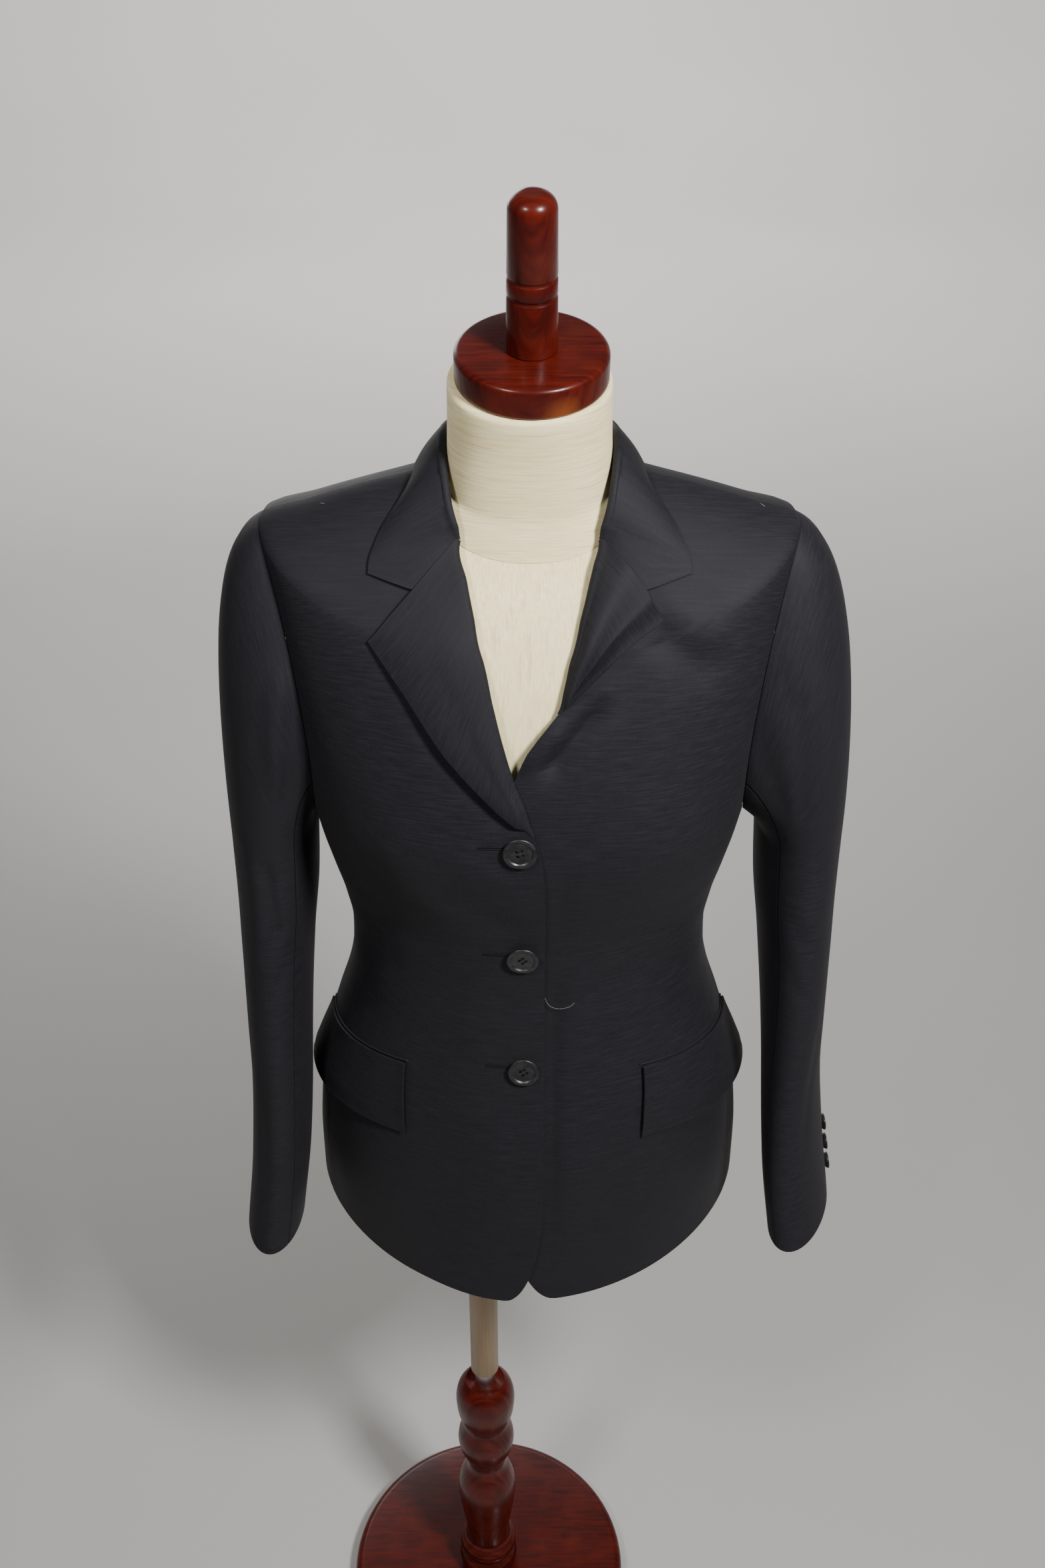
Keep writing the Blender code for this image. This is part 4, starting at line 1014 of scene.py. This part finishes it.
def pocket_flap(side, finish):
    rows, fullness = [], []
    for share in spaced(0.0, 1.0, 22):
        row = []
        fullness.append(blend(0.3, 1.0, ramp(0.0, 0.25, share)))
        for back in [0.0, 0.01] + spaced(0.03, 0.97, 34) + [0.99, 1.0]:
            angle = blend(FLAP_START[side], FLAP_END, back) + FLAP_SWING * (1 - share) * (1 - back)
            level = blend(blend(*FLAP_FOOT, back), blend(*FLAP_TOP, back), share)
            stands_off = blend(*FLAP_STANDS_OFF, back) * (1 - share) ** 1.5
            stands_off += FLAP_CURL * (1 - ramp(0.0, 0.05, back))
            row.append(front_point(side, (side * angle, level), LAY + stands_off))
        rows.append(row)
    under = (f"front_cloth_{HANDS[side]}",)
    side_cloth(side, "flap_cloth", "pocket_flap", rows, finish, rests_on=under, fullness=fullness)
    welt = []
    for back in spaced(-0.01, 1.007, 40):
        place = side * blend(FLAP_START[side], FLAP_END, back), blend(*FLAP_TOP, back) + WELT_RISE
        welt.append(front_point(side, place, WELT_OUT))
    tube(f"pocket_welt_{HANDS[side]}", welt, WELT_RADIUS, finish, sides=8)


# Buttons, buttonholes and loose threads
BUTTONS = ((-0.0070, 1.1700), (-0.0048, 1.0572), (-0.0040, 0.9445))
BUTTON_RADIUS, BUTTON_THICKNESS, BUTTON_GAP = 0.0125, 0.0038, 0.0009
CUFF_BUTTON_RADIUS, CUFF_BUTTON_THICKNESS = 0.0075, 0.0032
CUFF_BUTTON_HEIGHTS = (0.756, 0.774, 0.792)
CUFF_BUTTON_TURN = -42.0
BUTTON_RIM, BUTTON_LIP, BUTTON_DISH = 0.78, 0.0009, 0.0011
BUTTON_TURNS = (12.0, 42.0, 33.0)  # of the holes on each front button, in degrees
HOLE_RADIUS, HOLE_PLACE = 0.0011, 0.00195
# A front button's stitch, as (across, out of its dish)
STITCH = ((-0.00195, -0.00048), (-0.00156, 0.00008), (-0.00052, 0.00028), (0.00052, 0.00028),
          (0.00156, 0.00008), (0.00195, -0.00048))
STITCH_RADIUS = 0.00045
BUTTONHOLE_MIDDLE, BUTTONHOLE_HALF, BUTTONHOLE_RISE = (-0.0150, 0.0025), 0.0150, 0.0009
BUTTONHOLE_RADIUS, BUTTONHOLE_OUT, BUTTONHOLE_SQUARENESS = 0.00045, 0.0002, 0.35
LOOSE_THREAD = ((0.0125, 1.0130), (0.0150, 1.0075), (0.0195, 1.0042), (0.0255, 1.0030),
                (0.0315, 1.0036), (0.0355, 1.0062))
LINT = ((-0.1468, 1.3851), (0.1662, 1.3807))


def button_profile(radius, thickness):
    """A dished button with a rounded rim, from the middle of its top to the middle of its back."""
    rim, lip, dish = radius * BUTTON_RIM, BUTTON_LIP, thickness - BUTTON_DISH
    return (
        [(0.0, dish), (rim * 0.5, dish), (rim - lip, dish)]
        + [(rim - lip * 0.4, thickness - BUTTON_DISH * 0.55), (rim, thickness - 0.0002)]
        + arc(radius - lip, thickness - lip, lip, 90, -20, 6)
        + [(radius * 0.86, 0.0003), (radius * 0.84, 0.0), (0.0, 0.0)]
    )


def seat(point, normal, turn):
    """Where a button lies: its Z along the normal, turned about it by turn degrees."""
    z = unit(normal)
    x = unit(np.cross(UP, z))
    axes = np.stack([x, np.cross(z, x), z, point], axis=1)
    place = Matrix([list(row) for row in axes] + [[0.0, 0.0, 0.0, 1.0]])
    return place @ Matrix.Rotation(math.radians(turn), 4, "Z")


def button(name, node, place, radius, thickness, finish, thread):
    """A four-hole button with two stitches of thread."""
    scale = radius / BUTTON_RADIUS
    hole, bore = HOLE_PLACE * scale, HOLE_RADIUS * scale
    disc = spun(button_profile(radius, thickness), 40)
    plate = placed(name + "_whole", mesh_of(name + "_plate", disc))
    drill = bmesh.new()
    for x, y in itertools.product((-hole, hole), repeat=2):
        made = bmesh.ops.create_cone(
            drill, cap_ends=True, segments=14, radius1=bore, radius2=bore, depth=4 * thickness
        )
        bmesh.ops.translate(drill, verts=made["verts"], vec=(x, y, thickness / 2))
    cutter = placed(name + "_drill", mesh_of(name + "_bits", drill))
    cut = plate.modifiers.new("holes", "BOOLEAN")
    cut.operation = "DIFFERENCE"
    cut.object = cutter
    bpy.context.view_layer.update()
    seen = plate.evaluated_get(bpy.context.evaluated_depsgraph_get())
    bm = bmesh.new()
    bm.from_mesh(seen.to_mesh())
    seen.to_mesh_clear()
    bpy.data.objects.remove(plate)
    bpy.data.objects.remove(cutter)
    bmesh.ops.transform(bm, matrix=place, verts=bm.verts)
    sharpen(piece(name, bm, finish, (node,)), 40)
    for index, y in enumerate((-hole, hole), 1):
        path = []
        for across, out in STITCH:
            spot = Vector((across * scale, y, thickness - BUTTON_DISH + out * scale))
            path.append(np.array(place @ spot))
        tube(f"{name}_stitch_{index}", path, STITCH_RADIUS * scale, thread)


def front_buttons(finish, thread):
    for index, ((x, z), turn) in enumerate(zip(BUTTONS, BUTTON_TURNS), 1):
        spot = on_front(x, z)
        place = seat(front_point(-1, spot, BUTTON_GAP), coat_normal(*spot), turn)
        name, node = f"button_{index}", f"front_button_{index}"
        button(name, node, place, BUTTON_RADIUS, BUTTON_THICKNESS, finish, thread)
        ring = []
        for at in spaced(0.0, 360.0, 49)[:-1]:
            c, s = compass(at)
            across = BUTTONHOLE_HALF * math.copysign(abs(c) ** BUTTONHOLE_SQUARENESS, c)
            up = BUTTONHOLE_RISE * s
            spot = on_front(x + BUTTONHOLE_MIDDLE[0] + across, z + BUTTONHOLE_MIDDLE[1] + up)
            relief = body_relief(FRONT_CREASES[-1], *spot)
            ring.append(front_point(-1, spot, relief + BUTTONHOLE_OUT))
        tube(f"buttonhole_{index}", ring, BUTTONHOLE_RADIUS, thread, closed=True)


def cuff_buttons(side, finish, thread):
    for index, height in enumerate(CUFF_BUTTON_HEIGHTS, 1):
        point = sleeve_point(side, CUFF_BUTTON_TURN, height)
        ahead = sleeve_point(side, CUFF_BUTTON_TURN + 1, height) - point
        up = sleeve_point(side, CUFF_BUTTON_TURN, height + 0.004) - point
        normal = unit(np.cross(ahead, up)) * -side
        place = seat(point + normal * 2 * GAP, normal, 20.0 * (index - 1))
        name, node = f"cuff_{HANDS[side]}_button_{index}", f"cuff_button_{HANDS[side]}_{index}"
        button(name, node, place, CUFF_BUTTON_RADIUS, CUFF_BUTTON_THICKNESS, finish, thread)


def loose_threads(finish):
    path = []
    for share in spaced(0.0, 1.0, 24):
        spot = on_front(*along(LOOSE_THREAD, share))
        path.append(coat_point(*spot, CLOTH + 0.0010 + 0.0020 * math.sin(math.pi * share)))
    tube("loose_thread", path, 0.0002, finish)
    for index, place in enumerate(LINT, 1):
        angle, level = on_front(*place)
        spots = [(angle + 0.9 * t, level + 0.002 * t) for t in spaced(-0.7, 0.7, 6)]
        fleck = [coat_point(*spot, CLOTH + 0.0006) for spot in spots]
        tube(f"lint_{index}", fleck, 0.00028, finish)


# Dress form and stand
NECK_TILT = 12.0
NECK_TOP_Y, NECK_TOP_Z = -0.0115, 1.4795
NECK_SHIFT = 0.0013
CAP_RADIUS, CAP_THICKNESS = 0.0530, 0.0225
FINIAL_RADIUS, FINIAL_TOP_RADIUS, FINIAL_LENGTH, FINIAL_DOME = 0.0176, 0.0163, 0.1087, 0.0105
GROOVE_HEIGHTS = (0.0545, 0.0415)
GROOVE = ((0.0, 0.0006), (0.0003, 0.0), (0.0010, -0.0010), (0.0010, -0.0018), (0.0003, -0.0028),
          (0.0, -0.0034))
FORM_BOTTOM_Z = 0.735
FORM_CLEARANCE, SHOULDER_CLEARANCE = 0.008, 0.0030
FORM_NECK = table(
    "share squareness half_width front back middle_y middle_z tilt",
    [
        (0.0, 2.60, 0.0594, 0.0530, 0.0560, 0.0000, 1.4080, 18.0),
        (0.5, 2.40, 0.0577, 0.0545, 0.0550, -0.0030, 1.4400, 14.0),
        (1.0, 2.05, 0.0567, 0.0555, 0.0555, NECK_TOP_Y, NECK_TOP_Z, NECK_TILT),
    ],
)
FORM_STEPS = 112
OFF_CENTRE = 0.01  # no point of the form lies right at the centre front or back
NECK_BAND = 0.0007  # the neck's cover stands this far over the torso's at their seam


def form_ring(level, clearance):
    """A ring of the form inside the coat."""
    ring = []
    for i in range(FORM_STEPS):
        angle = 360.0 * i / FORM_STEPS + OFF_CENTRE
        angle = angle - 360.0 if angle > 180.0 else angle
        ring.append(coat_point(angle, level, -clearance))
    return ring


def neck_ring(share, inset=0.0):
    row = {key: smooth(FORM_NECK["share"], FORM_NECK[key], share) for key in FORM_NECK}
    power = 2 / row["squareness"]
    tilt_c, tilt_s = compass(row["tilt"])
    ring = []
    for i in range(FORM_STEPS):
        c, s = (math.copysign(abs(v) ** power, v) for v in compass(360.0 * i / FORM_STEPS))
        reach = -c * (row["front" if c > 0 else "back"] - inset)
        x = FORM_X + s * (row["half_width"] - inset)
        ring.append(np.array([x, row["middle_y"] + reach * tilt_c, row["middle_z"] + reach * tilt_s]))
    return ring


def linen_form(torso_linen, neck_linen):
    levels = spaced(FORM_BOTTOM_Z, 1.30, 36) + spaced(1.30, SHOULDER_LEVEL, 9)[1:]
    levels += finer(SHOULDER_LEVELS, 3)[1:]
    rings = []
    for level in levels:
        on_shoulder = ramp(1.25, 1.37, level) - 0.7 * ramp(1.404, 1.461, level)
        rings.append(form_ring(level, blend(FORM_CLEARANCE, SHOULDER_CLEARANCE, on_shoulder)))
    for point in rings[0]:
        point[2] = FORM_BOTTOM_Z
    seam, first = rings[-1], neck_ring(0.0)
    neck_from = len(rings)
    band = [point + unit(point - np.array([FORM_X, 0.004, point[2]])) * NECK_BAND for point in seam]
    rings += [between(band, first, share) for share in (0.02, 0.12, 0.3, 0.5, 0.7, 0.88, 1.0)]
    rings += [neck_ring(share) for share in spaced(0.0, 0.965, 16)[1:]]
    rings += [neck_ring(0.99, 0.0006), neck_ring(1.0, 0.0022)]
    bm = bmesh.new()
    loops = []
    for ring in rings:
        verts = [bm.verts.new(point) for point in ring]
        loops.append([bm.edges.new((verts[i - 1], verts[i])) for i in range(len(verts))])
    for index, (low, high) in enumerate(zip(loops, loops[1:])):
        made = bmesh.ops.bridge_loops(bm, edges=low + high)
        for face in made["faces"]:
            face.material_index = 1 if index + 1 >= neck_from else 0
    bmesh.ops.holes_fill(bm, edges=loops[0] + loops[-1], sides=0)
    bmesh.ops.recalc_face_normals(bm, faces=bm.faces)
    made = piece("linen_form", bm, torso_linen, ("form_torso",))
    made.data.materials.append(neck_linen)
    sharpen(made, 50)


def neck_place(distance):
    """A matrix that stands a turned piece on the leaning neck, distance above its top."""
    c, s = compass(NECK_TILT)
    spot = (FORM_X + NECK_SHIFT, NECK_TOP_Y - distance * s, NECK_TOP_Z + distance * c)
    return Matrix.Translation(spot) @ Matrix.Rotation(math.radians(NECK_TILT), 4, "X")


def turned(name, node, profile, finish, steps, place=None):
    bm = spun(profile, steps)
    if place:
        bmesh.ops.transform(bm, matrix=place, verts=bm.verts)
    sharpen(piece(name, bm, finish, (node,)))


def board(radius, thickness, edge, flat, count):
    """The profile of a round board with a rounded top edge, flat up to that share of its radius."""
    return (
        [(0.0, thickness), (radius * flat, thickness)]
        + arc(radius - edge, thickness - edge, edge, 90, 0, count)
        + [(radius, 0.003)]
        + arc(radius - 0.002, 0.002, 0.002, -10, -90, 4)
        + [(0.0, 0.0)]
    )


def neck_woods(lacquer):
    cap = board(CAP_RADIUS, CAP_THICKNESS, 0.0045, 0.6, 8)
    turned("cap_wood", "neck_cap", cap, lacquer, 96, neck_place(GAP))
    dome = FINIAL_DOME
    profile = [(0.0, FINIAL_LENGTH), (0.0052, FINIAL_LENGTH - 0.0001)]
    profile += arc(FINIAL_TOP_RADIUS - dome, FINIAL_LENGTH - dome, dome, 84, 0, 12)
    for height in GROOVE_HEIGHTS:
        radius = blend(FINIAL_RADIUS, FINIAL_TOP_RADIUS, height / FINIAL_LENGTH)
        profile += [(radius - depth, height + rise) for depth, rise in GROOVE]
    profile += [(FINIAL_RADIUS, 0.0006), (FINIAL_RADIUS - 0.0006, 0.0), (0.0, 0.0)]
    place = neck_place(CAP_THICKNESS + 2 * GAP)
    turned("finial_wood", "finial", profile, lacquer, 64, place)


POLE_RADIUS, STEEL_RADIUS = 0.0145, 0.0105
POLE_BOTTOM_Z, NEWEL_TOP_Z = 0.391, 0.371
FLANGE_RADIUS, FLANGE_THICKNESS, FLANGE_BEVEL = 0.045, 0.010, 0.003
BASE_RADIUS, BASE_THICKNESS = 0.157, 0.030
BASE_EDGE = 0.009
NEWEL = [
    (0.0105, NEWEL_TOP_Z - 0.004), (0.0170, NEWEL_TOP_Z - 0.002), (0.0205, NEWEL_TOP_Z),
    (0.0240, NEWEL_TOP_Z - 0.004), (0.0295, 0.3560), (0.0314, 0.3420), (0.0302, 0.3240),
    (0.0262, 0.3060), (0.0250, 0.3000), (0.0262, 0.2940), (0.0296, 0.2820), (0.0305, 0.2720),
    (0.0292, 0.2600), (0.0255, 0.2480), (0.0222, 0.2400), (0.0205, 0.2300), (0.0215, 0.2220),
    (0.0270, 0.2090), (0.0312, 0.1930), (0.0320, 0.1780), (0.0305, 0.1580), (0.0270, 0.1300),
    (0.0244, 0.1060), (0.0240, 0.0920), (0.0262, 0.0850), (0.0308, 0.0800), (0.0318, 0.0730),
    (0.0296, 0.0665), (0.0275, 0.0620), (0.0315, 0.0560), (0.0330, 0.0480), (0.0320, 0.0400),
    (0.0300, BASE_THICKNESS + GAP), (0.0, BASE_THICKNESS + GAP),
]


def stand(lacquer, tube_metal, steel):
    shown = NEWEL[2:-1]
    curve = [tuple(along(shown, share)) for share in spaced(0.0, 1.0, 4 * (len(shown) - 1) + 1)]
    newel = [(0.0, NEWEL_TOP_Z - 0.004)] + NEWEL[:2] + curve + NEWEL[-1:]
    turned("newel_wood", "newel_post", newel, lacquer, 80)
    foot = NEWEL_TOP_Z - 0.004 + GAP
    head = POLE_BOTTOM_Z - GAP
    rod = [(0.0, head), (STEEL_RADIUS, head), (STEEL_RADIUS, foot), (0.0, foot)]
    turned("rod_metal", "steel_tube", rod, steel, 48)
    top = FORM_BOTTOM_Z - FLANGE_THICKNESS - 2 * GAP
    pole = [(0.0, top), (POLE_RADIUS, top)]
    pole += arc(POLE_RADIUS - 0.001, POLE_BOTTOM_Z + 0.001, 0.001, 0, -90, 4)
    pole.append((0.0, POLE_BOTTOM_Z))
    turned("pole_metal", "pole", pole, tube_metal, 64)
    low = top + GAP
    high = low + FLANGE_THICKNESS
    flange = [(0.0, high), (FLANGE_RADIUS, high), (FLANGE_RADIUS, low + FLANGE_BEVEL)]
    flange += [(FLANGE_RADIUS - FLANGE_BEVEL, low), (0.0, low)]
    turned("flange_metal", "pole_flange", flange, steel, 64)
    base = board(BASE_RADIUS, BASE_THICKNESS, BASE_EDGE, 0.5, 12)
    turned("base_wood", "base_disc", base, lacquer, 128)


# Studio
FLOOR_RADIUS, WALL_CURVE, WALL_TOP_Z = 6.0, 3.0, 6.0


def studio():
    floor = Finish("studio_floor", Roughness=0.9)
    cloud = floor.noise((0.8, 0.8, 0.8), 1.0)
    floor.set("Base Color", floor.mix(cloud, (0.44, 0.425, 0.405), (0.51, 0.495, 0.475)))
    wall = arc(FLOOR_RADIUS, WALL_CURVE, WALL_CURVE, -90, 0, 14)
    bm = spun([(0.0, 0.0)] + wall + [(FLOOR_RADIUS + WALL_CURVE, WALL_TOP_Z)], 96)
    coated("studio_floor", bm, floor.material)
    world = bpy.data.worlds.new("studio")
    world.use_nodes = True
    light = world.node_tree.nodes["Background"].inputs
    light["Color"].default_value = (0.84, 0.84, 0.85, 1.0)
    light["Strength"].default_value = 0.12
    bpy.context.scene.world = world
    middle = (FORM_X, 0.0, 1.1)
    # Place, target, size and power
    lamp("lamp_left", (-0.80, -1.20, 2.60), middle, 0.34, 18.0)
    lamp("lamp_right", (0.95, -1.15, 2.52), middle, 0.34, 68.0)
    lamp("lamp_behind", (-0.70, 2.00, 1.90), middle, 1.20, 16.0)
    lamp("lamp_backdrop", (0.0, 4.5, 4.5), (0.0, 8.5, 0.0), 3.0, 500.0)


def lamp(name, place, target, size, power):
    light = bpy.data.lights.new(name, "AREA")
    light.size = size
    light.energy = power
    made = placed(name, light)
    made.location = place
    made.rotation_mode = "QUATERNION"
    made.rotation_quaternion = (Vector(target) - Vector(place)).to_track_quat("-Z", "Y")


CAMERA_TILT = 34.2  # degrees below level


def camera():
    lens = bpy.data.cameras.new("camera")
    lens.lens = 37.5
    lens.sensor_width = 36.0
    lens.clip_end = 60.0
    made = placed("camera", lens)
    made.location = (0.040, -1.085, 1.875)
    made.rotation_euler = (math.radians(90.0 - CAMERA_TILT), 0.0, 0.0)
    bpy.context.scene.camera = made


wool = wool_finish()
horn = horn_finish()
torso_linen = linen_finish("torso_linen", False)
neck_linen = linen_finish("neck_linen", True)
lacquer = lacquer_finish()
champagne = metal_finish("champagne_tube", (0.22, 0.155, 0.090), (0.36, 0.265, 0.165), 0.45, 0.34)
steel = metal_finish("brushed_steel", (0.45, 0.45, 0.46), (0.66, 0.66, 0.68), 1.0, 0.24)
dark_thread = thread_finish("dark_thread", (0.003, 0.003, 0.004), (0.009, 0.009, 0.010))
pale_thread = thread_finish("pale_thread", (0.08, 0.08, 0.08), (0.18, 0.18, 0.18))

linen_form(torso_linen, neck_linen)
for side in HANDS:
    front_panel(side, wool)
    side_panel(side, wool)
    back_panel(side, wool)
    lapel(side, wool)
    sleeve(side, wool)
    pocket_flap(side, wool)
    cuff_buttons(side, horn, dark_thread)
collar(wool)
back_seam(wool)
front_buttons(horn, dark_thread)
loose_threads(pale_thread)
neck_woods(lacquer)
stand(lacquer, champagne, steel)
studio()
camera()
